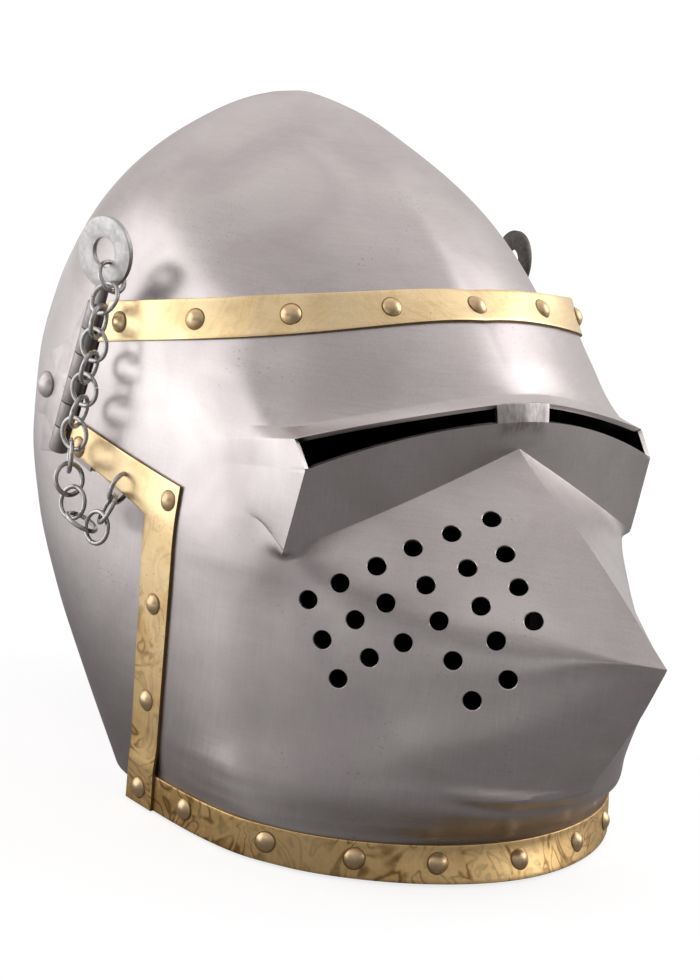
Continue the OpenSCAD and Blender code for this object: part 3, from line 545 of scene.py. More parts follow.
def visor_row(v, u=0.0):
    i = min(int(v), RIM - 1)
    h = stations[i + 1] - stations[i]
    gone = wing_end(u, v)
    fades = [1 - smooth(abs(u), 1.15, 1.3) if k <= LAST_UPPER_ROW else 1 - smooth(abs(u), 0.05, 0.3)
             for k in (i, i + 1)]
    row = []
    for place, column in enumerate(row_columns[:CREASE]):
        creases = [row_columns[CREASE][k] for k in (i, i + 1)]
        if place not in REAR_EDGE:
            creases = [crease * fade for crease, fade in zip(creases, fades)]
            if gone:
                column = [a + (b - a) * gone for a, b in zip(column, plain_columns[place])]
        row.append(hermite(column[i], column[i + 1], slope(stations, column, i, True, creases[0]) * h,
                           slope(stations, column, i + 1, False, creases[1]) * h, v - i))
    softness = 0.5 - 0.38 * smooth(v, 2, 4) - 0.119 * smooth(v, 4, 5)
    return row + [softness]


print("half way down, the temple stands at", [round(c, 1) for c in visor_row(7.5, 1.0)[3:6]])

# %% [markdown]
# In front, a row is a Bezier curve that leaves the keel at one angle and meets the temple at
# another. From there it goes on as a second curve that ends level on the rear edge, and the rear
# edge stands just outside the skull.
#
# From keel to temple a row falls in proportion to how far it has come sideways. On the brow that
# line would make a sharp peak at the keel, so there a larger `softness` rounds the fall off.

# %% A point of a row
REAR_Z = (0, 40, 84, 115, 125, 175, 190, 215)
REAR_X = (96.5, 98.5, 100.5, 102, 102.5, 102.5, 101.5, 97)


def bezier(a, b, c, d, t):
    s = 1 - t
    return s**3 * a + 3 * s * s * t * b + 3 * s * t * t * c + t**3 * d


def heading(degrees):
    return Vector((cos(radians(degrees)), sin(radians(degrees))))


def on_row(row, u):
    (centre_y, centre_z, keel_angle, temple_x, temple_y, temple_z, angle_before, angle_after,
     rear_y, rear_z, arch, softness) = row
    t = abs(u)
    temple = Vector((temple_x, temple_y))
    if t <= 1:
        start = Vector((0, centre_y))
        reach = (temple - start).length / 3
        q = bezier(start, start + reach * heading(keel_angle), temple - reach * heading(angle_before),
                   temple, t)
        fall = (hypot(q.x / temple_x, softness) - softness) / (hypot(1, softness) - softness)
        z = centre_z + (temple_z - centre_z) * fall + arch * 4 * t * (1 - t)
    else:
        t = t - 1
        end = Vector((through(REAR_Z, REAR_X, rear_z), rear_y))
        reach = (end - temple).length / 3
        q = bezier(temple, temple + reach * heading(angle_after), end - Vector((0, reach)), end, t)
        z = temple_z + (rear_z - temple_z) * t
    return at(-q.x if u < 0 else q.x, q.y, z)


print("the tip of the beak is at", [round(c, 3) for c in on_row(visor_row(8), 0)], "metres")

# %% [markdown]
# Hammered steel has no hard lines but the creases that the maker wanted. Some lines above are still
# too hard: the temple, where the two curves of a row meet, and the lines of beak and cheek away from
# the keel. A point there is the weighted mean of five points along the row, of five across the
# rows, or of all twenty-five.
#
# The real visor also has a dent rolled across the chin on the wearer's right, a crest with a groove
# under it. `chin_roll` adds it, and fades it out to both sides.

# %% A point of the visor
ROUNDING = ((-1, 1), (-0.5, 2), (0, 3), (0.5, 2), (1, 1))
WEIGHTS = sum(weight for _, weight in ROUNDING)
MIDDLE = ((0, WEIGHTS),)


def chin_roll(u, v):
    crest = 3.5 * exp(-((v - 11.8 + 1.5 * u * u) / 0.2) ** 2)
    groove = 2.2 * exp(-((v - 12.5 + 4 * u * u) / 0.22) ** 2)
    fade = (1 - smooth(-u, 0.25, 0.5)) * (1 - smooth(u, -0.1, 0.16))
    return Vector((0, (groove - crest) * fade * MM, 0))


def rows_to_mix(u, v):
    front = smooth(u, 0.04, 0.35) * (1 - smooth(abs(v - 8.4), 0.7, 2.3))
    cheek = 0.6 * smooth(u, 1.3, 1.42) * (1 - smooth(abs(v - 6), 0.6, 1.4))
    return 0.85 * max(front, cheek) * (1 - smooth(u, 1.7, 1.95))


def width_to_mix(u, v):
    clear_of_sights = 1 - smooth(v, 2.6, 3.6) + smooth(v, 6.0, 6.5)
    lower = smooth(v, 7, 8)
    near_temple = max(0, 1 - abs(u - 1) / (0.4 + 0.2 * lower))
    return (0.18 + 0.1 * lower) * clear_of_sights * near_temple


def visor_point(u, v):
    tall, wide = rows_to_mix(abs(u), v), width_to_mix(abs(u), v)
    rows = [(visor_row(v + step * tall, u), part) for step, part in (ROUNDING if tall else MIDDLE)]
    total = chin_roll(u, v)
    for row, part in rows:
        for step, share in (ROUNDING if wide else MIDDLE):
            total = total + on_row(row, u + step * wide) * (share * part / WEIGHTS**2)
    return total


def visor_normal(u, v):
    sideways = visor_point(u + 0.01, v) - visor_point(u - 0.01, v)
    down = visor_point(u, min(v + 0.01, RIM)) - visor_point(u, max(v - 0.01, 0))
    return down.cross(sideways).normalized()


print("at the temple the visor faces", [round(c, 2) for c in visor_normal(1, 7)])

# %% [markdown]
# ## From a grid to a sheet of steel
# Blender's own grid gives the faces, and each of its points is carried to its place on a surface.
# Rows stand closer together near a crease, so that the crease stays crisp and the flat parts don't
# take more faces than they need.

# %% Sheets on a surface


def even_steps(first, last, count):
    return [first + (last - first) * k / count for k in range(count)]


def crowded_steps(first, last, count):
    return [first + (last - first) * (1 - cos(pi * k / count)) / 2 for k in range(count)]


def sheet(surface, us, vs):
    bm = bmesh.new()
    across, up = len(us) - 1, len(vs) - 1
    bmesh.ops.create_grid(bm, x_segments=across, y_segments=up, size=1)
    for vert in bm.verts:
        i = round((vert.co.x + 1) / 2 * across)
        j = round((vert.co.y + 1) / 2 * up)
        vert.co = surface(us[i], vs[j])
    return bm


print("crowded steps from 0 to 1:", [round(t, 2) for t in crowded_steps(0, 1, 6)])

# %% [markdown]
# Two more helpers serve every piece. `new_piece` makes an object from a bmesh, and says which solid
# it stands for, which slot its finish comes from and which body it rides on. `settle` turns an
# object with modifiers into a plain mesh, so that the next step works on real faces.

# %% Pieces


def shade(mesh, sharp):
    mesh.shade_smooth()
    mesh.set_sharp_from_angle(angle=radians(sharp))


def new_piece(name, bm, body, material, solid, sharp=40):
    mesh = bpy.data.meshes.new(name)
    bm.to_mesh(mesh)
    bm.free()
    shade(mesh, sharp)
    mesh.materials.append(material)
    piece = bpy.data.objects.new(name, mesh)
    bpy.context.collection.objects.link(piece)
    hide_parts(solid)
    if body:
        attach(piece, body)
    return piece


def settle(piece, sharp=40):
    depsgraph = bpy.context.evaluated_depsgraph_get()
    mesh = bpy.data.meshes.new_from_object(piece.evaluated_get(depsgraph))
    piece.modifiers.clear()
    piece.data = mesh
    shade(mesh, sharp)


# %% [markdown]
# ## Turned shapes
# Rivets, pins, washers and hole cutters are all round. A few points give the profile, radius and
# height, and the spin operator turns it once about Z. Merging doubles closes the poles, and the
# normals are found again after that. Points are listed in the order of their faces and never as a
# bare set, whose order changes from run to run. `stand_on` gives the matrix that stands such a
# shape on a point, with its Z along a normal.

# %% Turned shapes


def points_of(faces):
    return list(dict.fromkeys(vert for face in faces for vert in face.verts))


def turned(bm, profile, matrix, segments=32):
    verts = [bm.verts.new((r * MM, 0, z * MM)) for r, z in profile]
    edges = [bm.edges.new(pair) for pair in zip(verts, verts[1:])]
    if profile[0][0] > 0 and profile[-1][0] > 0:
        edges.append(bm.edges.new((verts[-1], verts[0])))
    before = set(bm.faces)
    bmesh.ops.spin(bm, geom=verts + edges, cent=(0, 0, 0), axis=(0, 0, 1), angle=2 * pi,
                   steps=segments, use_merge=True, use_duplicate=False)
    bmesh.ops.remove_doubles(bm, verts=points_of(face for face in bm.faces if face not in before), dist=1e-6)
    faces = [face for face in bm.faces if face not in before]
    bmesh.ops.recalc_face_normals(bm, faces=faces)
    bmesh.ops.transform(bm, matrix=matrix, verts=points_of(faces))
    if matrix.determinant() < 0:
        bmesh.ops.reverse_faces(bm, faces=faces)
    return faces


def stand_on(point, normal):
    return Matrix.Translation(point) @ Vector(normal).to_track_quat("Z", "Y").to_matrix().to_4x4()


# %% [markdown]
# ## The visor plate
# On the real helmet this is one raised and filed sheet, 2 mm thick. The grid is carried onto the
# rows, the lines of the creases are eased by one pass of smoothing, as a file leaves them, and the
# faces inside the two sights are taken out. Each point's (u, v) is kept, because both later steps
# choose their points by it.

# %% The visor's sheet
SIGHT_IN = 0.147
half = even_steps(0, SIGHT_IN, 9) + even_steps(SIGHT_IN, 1, 42) + even_steps(1, 2, 34) + [2.0]
visor_us = [-u for u in half[:0:-1]] + half
# how many faces stand between one row of the visor and the next
CELLS = (8, 9, 8, 10, 8, 14, 18, 20, 12, 12, 10, 16, 16, 9, 9)
visor_vs = [v for i, count in enumerate(CELLS) for v in crowded_steps(i, i + 1, count)] + [float(RIM)]
visor_vs.reverse()
visor_bm = sheet(visor_point, visor_us, visor_vs)
places = [(u, v) for v in visor_vs for u in visor_us]
print("visor sheet:", len(visor_bm.faces), "faces")

# %% File marks and sights
EASED_ROWS = {3: 0.5, 4: 0.35, 5: 0.35, 6: 0.5, 8: 0.35, 9: 0.35}
for line, amount in EASED_ROWS.items():
    on_line = [vert for vert, (u, v) in zip(visor_bm.verts, places) if v == line and 0.001 < abs(u) < 1.999]
    bmesh.ops.smooth_vert(visor_bm, verts=on_line, factor=amount, use_axis_x=True, use_axis_y=True,
                          use_axis_z=True)
filed = visor_bm.verts.layers.float.new("filed")
for vert, (u, v) in zip(visor_bm.verts, places):
    vert[filed] = (1 - smooth(abs(u), 0.11, 0.15)) * smooth(v, 3.85, 4) * (1 - smooth(v, 5.1, 5.5))
in_sight = []
visor_bm.verts.index_update()
for face in visor_bm.faces:
    corners = [places[vert.index] for vert in face.verts]
    u = sum(abs(corner[0]) for corner in corners) / 4
    v = sum(corner[1] for corner in corners) / 4
    if LIP < v < LEDGE and SIGHT_IN < u < 1:
        in_sight.append(face)
print("the sights take out", len(in_sight), "faces")
bmesh.ops.delete(visor_bm, geom=in_sight, context="FACES")

# %% [markdown]
# The breath holes are punched and countersunk by a hair, on the wearer's right only, where no
# lance comes. Their middles were read off the photograph by eye, as pixels, and a separate small
# script turned each pixel into the pair of surface coordinates below. A cutter with a flared end
# makes hole and countersink in one Boolean. Each side also gets the hole where its chain hangs. The
# rivets' bores are under their heads and need no cutter.

# %% Punches
BREATHS = [
    (-0.236, 6.569), (-0.387, 6.617), (-0.529, 6.695), (-0.663, 6.897), (-0.79, 7.203), (-0.89, 7.637),
    (-0.26, 6.952), (-0.394, 7.047), (-0.539, 7.235), (-0.668, 7.557), (-0.756, 7.908), (-0.842, 8.286),
    (-0.277, 7.274), (-0.408, 7.528), (-0.535, 7.802), (-0.633, 8.229), (-0.715, 8.499), (-0.787, 8.824),
    (-0.284, 7.684), (-0.399, 8.078), (-0.509, 8.497),
    (-0.37, 8.887), (-0.445, 9.292),
]
CHAIN_HOLE = (108.9, 125)
FLARED = [(0, -7), (3.5, -7), (3.5, -0.3), (4.15, 0.35), (4.15, 5), (0, 5)]
SIDES = (("left", 1), ("right", -1))
visor_tree = BVHTree.FromBMesh(visor_bm)


def side_hit(way, y, z):
    spot, normal = visor_tree.ray_cast(at(way * 130, y, z), Vector((-way, 0, 0)))[:2]
    return spot, normal if normal.x * way > 0 else -normal


def cutter(name, bm):
    mesh = bpy.data.meshes.new(name)
    bm.to_mesh(mesh)
    bm.free()
    made = bpy.data.objects.new(name, mesh)
    bpy.context.collection.objects.link(made)
    return made


punch_bm = bmesh.new()
for u, v in BREATHS:
    turned(punch_bm, FLARED, stand_on(visor_point(u, v), visor_normal(u, v)), 40)
for word, way in SIDES:
    spot, normal = side_hit(way, *CHAIN_HOLE)
    turned(punch_bm, [(0, -7), (3, -7), (3, 5), (0, 5)], stand_on(spot, (way, 0, 0)))
punches = cutter("punches", punch_bm)
print(len(BREATHS), "breath holes, and the right chain hole at", [round(c, 3) for c in spot])

# %% [markdown]
# A Solidify modifier gives the wall, inwards, with the steel inside painted nearly black as shade. Over the
# creases its inner skin folds into small points, so `ease_inside` smooths that skin, which a helmet's inside
# allows, and leaves the outer one and the edges alone. Only then are the holes cut, so that they
# stay round.

# %% Wall and holes
PLATE = 2.0


def give_wall(piece, thickness, outward=False):
    wall = piece.modifiers.new("wall", "SOLIDIFY")
    wall.thickness = thickness * MM
    wall.offset = 1 if outward else -1
    wall.use_even_offset = False
    return wall


def cut_and_ride(piece, tool, body):
    hole = piece.modifiers.new("holes", "BOOLEAN")
    hole.operation = "DIFFERENCE"
    hole.solver = "EXACT"
    hole.object = tool
    settle(piece)
    bpy.data.objects.remove(tool)
    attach(piece, body)
    print(piece.name, "has", len(piece.data.polygons), "faces")


def ease_inside(piece, outer_count, passes=14):
    bm = bmesh.new()
    bm.from_mesh(piece.data)
    bm.verts.ensure_lookup_table()
    inside = [vert for vert in bm.verts[outer_count:]
              if all(edge.other_vert(vert).index >= outer_count for edge in vert.link_edges)]
    for _ in range(passes):
        bmesh.ops.smooth_vert(bm, verts=inside, factor=0.5, use_axis_x=True, use_axis_y=True, use_axis_z=True)
    bm.to_mesh(piece.data)
    bm.free()


visor = new_piece("visor_shell", visor_bm, None, plate_steel, "visor_plate")
outer_count = len(visor.data.vertices)
# the inner skin takes slot 1, the nearly black steel that is painted shade
give_wall(visor, PLATE).material_offset = 1
visor.data.materials.append(shaded_inner_steel)
settle(visor)
ease_inside(visor, outer_count)
cut_and_ride(visor, punches, "visor_body")

# %% [markdown]
# ## The skull
# The skull is one raised bowl with a soft keel over the front. Its level sections are squarish
# ovals, and each row of the table gives one of them. A grid is rolled round: its two side edges
# meet at the front and are merged. Near the top the rows crowd together, because there the
# surface turns level, and one flat face closes the small ring that is left.

# %% Sections of the skull
# height; half width; front and rear y
SKULL = [
    (0, 84, 20, 160), (30, 89.5, 20, 188), (60, 93.5, 20, 216), (90, 96, 20, 237), (120, 96.8, 20, 248.5),
    (150, 96.5, 20, 250.5), (180, 93.5, 23, 245), (200, 89, 36.5, 236), (215, 82.5, 52, 228),
    (230, 72.5, 70.5, 218), (243, 59, 90, 208), (255, 42, 112, 196), (264, 26, 130, 184),
    (269, 12, 146, 173), (271, 3, 155, 163),
]
SKULL_TOP, KEEL, SQUARISH = 271, 2.6, 2.25
skull_columns = list(zip(*SKULL))


def skull_point(half_width, front, rear, z, angle):
    middle = front + (rear - front) * 0.55
    power = 2 / SQUARISH
    x = half_width * (abs(sin(angle)) ** power * (1 if sin(angle) > 0 else -1))
    lengthwise = abs(cos(angle)) ** power * (1 if cos(angle) > 0 else -1)
    if cos(angle) > 0:
        keel = KEEL * max(0, 1 - abs(x) / (0.4 * half_width)) ** 2
        return at(x, middle - (middle - front - KEEL) * lengthwise - keel, z)
    return at(x, middle - (rear - middle) * lengthwise, z)


skull_angles = [radians(360) * k / 200 for k in range(201)]
skull_zs = [SKULL_TOP * (1 - (1 - k / 110) ** 1.7) for k in range(111)]
skull_rows = {z: [through(skull_columns[0], column, z) for column in skull_columns[1:]] for z in skull_zs}
skull_bm = sheet(lambda a, z: skull_point(*skull_rows[z], z, a), skull_angles, skull_zs)
bmesh.ops.remove_doubles(skull_bm, verts=skull_bm.verts, dist=1e-5)
top_ring = [edge for edge in skull_bm.edges if edge.is_boundary and edge.verts[0].co.z > 0.2]
bmesh.ops.contextual_create(skull_bm, geom=top_ring)
print("skull sheet:", len(skull_bm.faces), "faces")

# %% [markdown]
# The face is open under the visor. A block with two rounded upper corners cuts the arch: a bevel
# of 52 mm on its upper long edges makes the corners, and the block reaches from well in front to
# the middle of the helmet. Two small drills cut the pivots' holes.

# %% Face arch
PIVOT = (174, 145)
arch_bm = bmesh.new()
block = bmesh.ops.create_cube(arch_bm, size=1)["verts"]
bmesh.ops.scale(arch_bm, vec=(0.136, 0.126, 0.192), verts=block)
bmesh.ops.translate(arch_bm, vec=at(0, 3, 91), verts=block)
upper = [edge for edge in arch_bm.edges
         if all(v.co.z > 0.1 for v in edge.verts) and edge.verts[0].co.x * edge.verts[1].co.x > 0]
bmesh.ops.bevel(arch_bm, geom=upper, offset=0.052, offset_type="OFFSET", segments=20, profile=0.5,
                affect="EDGES", material=-1)
for word, way in SIDES:
    drill = [(0, -12), (3.05, -12), (3.05, 12), (0, 12)]
    turned(arch_bm, drill, stand_on(at(way * 92, *PIVOT), (way, 0, 0)))
skull = new_piece("skull_shell", skull_bm, None, plate_steel, "skull")
# the inner skin takes slot 1, the nearly black steel that is painted shade
give_wall(skull, PLATE).material_offset = 1
skull.data.materials.append(shaded_inner_steel)
cut_and_ride(skull, cutter("arch_cutter", arch_bm), "skull_body")

# %% [markdown]
# ## Brass bands
# Each band is a strip of the same surface, standing on the steel and 1.2 mm thick. A Bevel rounds
# its cut edges by a third of a millimetre. Solidify gives those edges the dark brass, painted shade that
# draws the thin dark line parting band from plate.

# %% Bands across the visor
BRASS = 1.2


def lifted(u, v, lift):
    return visor_point(u, v) + visor_normal(u, v) * lift * MM


def band(name, surface, us, vs, solid, trim=None):
    bm = sheet(surface, us, vs)
    if trim:
        trim(bm)
    piece = new_piece(name, bm, None, band_brass, solid)
    # the band's edges take slot 1, the dark brass painted as shade
    give_wall(piece, BRASS, outward=True).material_offset_rim = 1
    piece.data.materials.append(edge_shade_brass)
    edge = piece.modifiers.new("edge", "BEVEL")
    edge.width = 0.3 * MM
    edge.segments = 2
    edge.limit_method = "ANGLE"
    edge.angle_limit = radians(60)
    settle(piece, 50)
    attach(piece, "visor_body")
    print(name, "has", len(piece.data.polygons), "faces")


band_us = [u / 60 for u in range(-120, 121)]
for name, first_row, solid in (("top_band_strip", 1, "top_band"), ("rim_band_strip", 15, "bottom_band")):
    band_vs = [first_row - k / 10 for k in range(11)]
    band(name, lambda u, v: lifted(u, v, 0.05), band_us, band_vs, solid)

# %% [markdown]
# The side strip is an L. Its upper arm runs forward from the hinge and its lower arm down to the
# rim, where it laps over the bottom band, so it rises by that band's thickness on the way. The
# strip's sheet is cut to its outline by two planes, one above the upper arm and one in front of
# the lower. The corner between the arms is the visor's own rear edge.

# %% Side strips
STRIP_CORNERS = ((150, 138.5), (73.5, 129), (68.5, -5))


def strip_point(u, v):
    return lifted(u, v, 0.06 + BRASS * smooth(v, 11.5, 13.95))


def trim_strip(bm):
    for one, two in zip(STRIP_CORNERS, STRIP_CORNERS[1:]):
        start, end = at(0, *one), at(0, *two)
        along = (end - start).normalized()
        bmesh.ops.bisect_plane(bm, geom=bm.verts[:] + bm.edges[:] + bm.faces[:], plane_co=start,
                               plane_no=Vector((0, along.z, -along.y)), dist=1e-7, clear_outer=True)


strip_vs = [RIM - k / 9 for k in range(0, 108)] + [3.0]
for word, way in SIDES:
    strip_us = sorted(way * (1.0 + k / 40) for k in range(41))
    band(word + "_side_strip", strip_point, strip_us, strip_vs, word + "_side_band", trim_strip)

# %% [markdown]
# ## Domed rivets
# The rivets are brass, and each was set by hand, so the heads differ a little in tilt and size. A
# head is a low dome with a crisp foot, and on the inside the shank is spread to hold the plates.
# A thin ring of the dark brass at the foot of each head is painted shade in the corner round it.

# %% One rivet
chance = random.Random(11)
HEAD_R, HEAD_HEIGHT, FOOT_HEIGHT, DOME_STEPS = 3.9, 2.3, 0.25, 9


def dome(radius, height):
    ball = (radius**2 + height**2) / (2 * height)
    low = acos((ball - height) / ball)
    angles = [low * (1 - k / DOME_STEPS) for k in range(DOME_STEPS)]
    return [(ball * sin(a), height - ball + ball * cos(a)) for a in angles] + [(0, height)]


def rivet_at(bm, point, normal, deep):
    size = chance.uniform(0.97, 1.04)
    tilt = Vector((chance.uniform(-1, 1), chance.uniform(-1, 1), chance.uniform(-1, 1))) * 0.035
    edge = HEAD_R * size
    shank = [(0, -deep - 0.9), (1.4, -deep - 0.7), (2.2, -deep), (1.5, -deep), (1.5, 0)]
    foot = [(edge + 0.3, 0), (edge + 0.3, 0.12), (edge, 0.2)]
    head = [(r * size, h * size + FOOT_HEIGHT) for r, h in dome(HEAD_R, HEAD_HEIGHT - FOOT_HEIGHT)]
    standing = stand_on(point, (normal + tilt).normalized())
    for face in turned(bm, shank + foot + head, standing, 28):
        # the foot of the head takes slot 1, the dark brass painted as shade
        if (standing.inverted() @ face.calc_center_median()).z < 0.24 * MM:
            face.material_index = 1


def rivet_piece(name, bm, solid):
    piece = new_piece(name, bm, "visor_body", rivet_brass, solid, sharp=50)
    piece.data.materials.append(edge_shade_brass)
    print(name, "has", len(piece.data.polygons), "faces")


# %% [markdown]
# A smith sets rivets out with dividers, by length along the band and not by u. `arc_place`
# walks along the band in small steps until it has gone that far. On the strips, a ray shot in from
# the side finds the steel under each rivet.

# %% Rows of rivets
SHALLOW, DEEP = 3.25, 6.0


def arc_place(v, length):
    u, run, last = 0.0, 0.0, visor_point(0, v)
    while run < length * MM:
        u += 0.004
        spot = visor_point(u, v)
        run += (spot - last).length
        last = spot
    return u


def row_rivets(name, arcs, v, solid, last_deep):
    bm = bmesh.new()
    for arc in [-a for a in arcs[:0:-1]] + list(arcs):
        u = arc_place(v, abs(arc)) * (1 if arc > 0 else -1)
        deep = last_deep if abs(arc) == arcs[-1] else SHALLOW
        rivet_at(bm, lifted(u, v, 1.27), visor_normal(u, v), deep)
    rivet_piece(name, bm, solid)


row_rivets("top_rivet_heads", (0, 38.5, 77, 115, 153), 0.5, "top_band_rivets", DEEP)
row_rivets("rim_rivet_heads", (0, 35.6, 67.5, 101.3, 141), 14.5, "bottom_band_rivets", SHALLOW)

# %% Rivets of the strips
STRIP_RIVETS = [(139.6, 127.8), (78.4, 122.4), (80.5, 81), (79, 42.6), (77.8, 7.6)]
for word, way in SIDES:
    bm = bmesh.new()
    for y, z in STRIP_RIVETS:
        spot, normal = side_hit(way, y, z)
        rise = 2.5 if z < 14 else 1.28
        rivet_at(bm, spot + normal * rise * MM, normal, DEEP if y > 130 else rise + 2)
    rivet_piece(word + "_strip_rivet_heads", bm, word + "_side_rivets")

# %% [markdown]
# ## Hinges
# Each hinge has six knuckles, three on the leaf inside the visor and three on the leaf that runs
# back to the pivot. They are drawn standing on the barrel's own line, Z up it and X outward, and
# a matrix carries them to both sides. A mirrored matrix turns the faces, so they are turned back.

# %% Hinge line
HINGE_X, FOOT_Y, FOOT_Z = 102.3, 156, 122.5
hinge_top = at(HINGE_X, 140.1, 185.5)
hinge_foot = at(HINGE_X, FOOT_Y, FOOT_Z)
hinge_len = (hinge_top - hinge_foot).length / MM
hinge_lean = atan2(hinge_foot.y - hinge_top.y, hinge_top.z - hinge_foot.z)
KNUCKLE_R, BORE_R, LEAF_T, GAP = 4.0, 2.27, 1.4, 0.25
pitch = hinge_len / 6


def hinge_frame(way):
    made = Matrix.Translation(hinge_foot) @ Matrix.Rotation(hinge_lean, 4, "X")
    return made if way > 0 else Matrix.Scale(-1, 4, (1, 0, 0)) @ made


print("hinge line", round(hinge_len, 2), "mm, six knuckles of", round(pitch - GAP, 2), "mm")

# %% [markdown]
# Two helpers make both leaves. `slab` is a flat bar with bevelled edges, and `barrel` turns every
# second knuckle. The knuckles take a darker copy of the leaves' steel, painted shade on the barrel.
# The front leaf is a bar under the visor's rear edge, joined to its knuckles by short
# slabs, and the whole of it leans in by four degrees to follow the plate.

# %% Front leaves


def slab(bm, low, high, matrix):
    before = set(bm.verts)
    verts = bmesh.ops.create_cube(bm, size=1)["verts"]
    low, high = Vector(low) * MM, Vector(high) * MM
    bmesh.ops.scale(bm, vec=high - low, verts=verts)
    bmesh.ops.translate(bm, vec=(low + high) / 2, verts=verts)
    edges = list(dict.fromkeys(edge for vert in verts for edge in vert.link_edges))
    bmesh.ops.bevel(bm, geom=edges, offset=0.3 * MM, segments=2, profile=0.5, affect="EDGES", material=-1)
    made = [vert for vert in bm.verts if vert not in before]
    bmesh.ops.transform(bm, matrix=matrix, verts=made)
    if matrix.determinant() < 0:
        faces = list(dict.fromkeys(face for vert in made for face in vert.link_faces))
        bmesh.ops.reverse_faces(bm, faces=faces)


def barrel(bm, first, matrix):
    r, e = KNUCKLE_R, 0.35
    for i in range(first, 6, 2):
        foot = i * pitch + GAP / 2
        top = foot + pitch - GAP
        lower = [(BORE_R, foot), (r - e, foot), (r - 0.1, foot + 0.1), (r, foot + e)]
        upper = [(r, top - e), (r - 0.1, top - 0.1), (r - e, top), (BORE_R, top)]
        for face in turned(bm, lower + upper, matrix, 40):
            # slot 1 is the darker steel, painted shade on the knuckles
            face.material_index = 1


def leaf_piece(word, end, bm):
    leaf = new_piece(f"{word}_{end}_hinge_leaf", bm, "visor_body", hinge_steel,
                     f"{word}_{end}_leaf")
    leaf.data.materials.append(shaded_knuckle_steel)
    print(leaf.name, "has", len(leaf.data.polygons), "faces")


for word, way in SIDES:
    matrix = hinge_frame(way) @ Matrix.Rotation(radians(-4), 4, "Z")
    bm = bmesh.new()
    barrel(bm, 0, matrix)
    for i in (0, 2, 4):
        foot = i * pitch + GAP / 2
        slab(bm, (-KNUCKLE_R, -6.2, foot), (LEAF_T - KNUCKLE_R, -0.5, foot + pitch - GAP), matrix)
    slab(bm, (-KNUCKLE_R, -19, 0), (LEAF_T - KNUCKLE_R, -KNUCKLE_R - GAP, hinge_len), matrix)
    leaf_piece(word, "front", bm)

# %% [markdown]
# The rear leaf is cut to a three-lobed outline. Its face is made from the outline's corners, the
# corners are rounded by a bevel of the vertices, and the face is extruded to the leaf's
# thickness. The plate is made on the wearer's left and mirrored for the right.

# %% Rear leaves
REAR_LEAF = [
    (152, 184.2), (159.6, 168.5), (164.6, 164.1), (172.7, 159.4), (177.6, 154.2), (179.2, 143.5),
    (179, 135.3), (177.6, 132.3), (172.4, 133.1), (173.4, 120), (173, 118), (159.2, 120.7),
]


def beside_barrel(z):
    y, c, s = KNUCKLE_R + GAP, cos(hinge_lean), sin(hinge_lean)
    return (FOOT_Y + y * c - z * s, FOOT_Z + y * s + z * c)


def leaf_plate(outline):
    bm = bmesh.new()
    corners = [bm.verts.new(at(HINGE_X - KNUCKLE_R, y, z)) for y, z in outline]
    bm.faces.new(corners)
    bmesh.ops.bevel(bm, geom=corners[:len(REAR_LEAF)], offset=0.9 * MM, segments=3, profile=0.5,
                    affect="VERTICES", material=-1)
    face = max(bm.faces, key=lambda f: f.calc_area())
    wall = bmesh.ops.extrude_face_region(bm, geom=[face])["geom"]
    outer = [part for part in wall if isinstance(part, bmesh.types.BMVert)]
    bmesh.ops.translate(bm, vec=(LEAF_T * MM, 0, 0), verts=outer)
    bmesh.ops.recalc_face_normals(bm, faces=bm.faces)
    rim = [edge for edge in bm.edges if abs(edge.verts[0].co.x - edge.verts[1].co.x) < 1e-6]
    bmesh.ops.bevel(bm, geom=rim, offset=0.25 * MM, segments=2, profile=0.5, affect="EDGES", material=-1)
    return bm


def mirror_to(way, bm):
    if way < 0:
        bmesh.ops.scale(bm, vec=(-1, 1, 1), verts=bm.verts)
        bmesh.ops.reverse_faces(bm, faces=bm.faces)


for word, way in SIDES:
    bm = leaf_plate(REAR_LEAF + [beside_barrel(0), beside_barrel(hinge_len)])
    mirror_to(way, bm)
    matrix = hinge_frame(way)
    barrel(bm, 1, matrix)
    for i in (1, 3, 5):
        foot = i * pitch + GAP / 2
        slab(bm, (-KNUCKLE_R, 0.5, foot), (LEAF_T - KNUCKLE_R, 6.2, foot + pitch - GAP), matrix)
    leaf_piece(word, "rear", bm)

# %% [markdown]
# ## Pivots and pins
# The visor turns on two domed rivets through the skull. They stand on the rear leaves, and are
# turned like the brass ones, only larger and of steel.

# %% Pivot rivets
PIVOT_R = 5.4
leaf_face = HINGE_X - KNUCKLE_R + LEAF_T
for word, way in SIDES:
    bm = bmesh.new()
    shank = [(0, -9.0), (3, -9.0), (3, 0.04), (5.3, 0.04), (PIVOT_R, 0.2)]
    head = [(r, h + FOOT_HEIGHT) for r, h in dome(PIVOT_R, 2.75)]
    turned(bm, shank + head, stand_on(at(way * leaf_face, *PIVOT), (way, 0, 0)), 40)
    new_piece(word + "_pivot_head", bm, "skull_body", hinge_steel,
              word + "_pivot_rivet", sharp=50)
print("pivot heads", 2 * PIVOT_R, "mm wide")

# %% [markdown]
# Each hinge pin is a rod with a shoulder, and a large washer is welded to the side of its stem, to
# pull it by. The pin has turned a little in its bore, as pins do, so the washer faces a few degrees
# forward. Rod and washer are two pieces on the pin's own body, which slides out of the hinge.

# %% Pins and washers
WASHER_RISE, WASHER_R, WASHER_HOLE, WASHER_T = 22, 14, 5.8, 2.2
PIN_R, STEM_R, WASHER_OUT, WASHER_TURN = 2.2, 2.9, 3.6, radians(-12)
WASHER_PLACE = Vector((WASHER_OUT, 0, hinge_len + WASHER_RISE)) * MM


def ring_profile(inner, outer, thickness, e=0.35):
    h, c = thickness / 2, e * 0.3
    back = [(inner, -h + e), (inner + c, -h + c), (inner + e, -h)]
    back += [(outer - e, -h), (outer - c, -h + c), (outer, -h + e)]
    return back + [(r, -z) for r, z in reversed(back)]


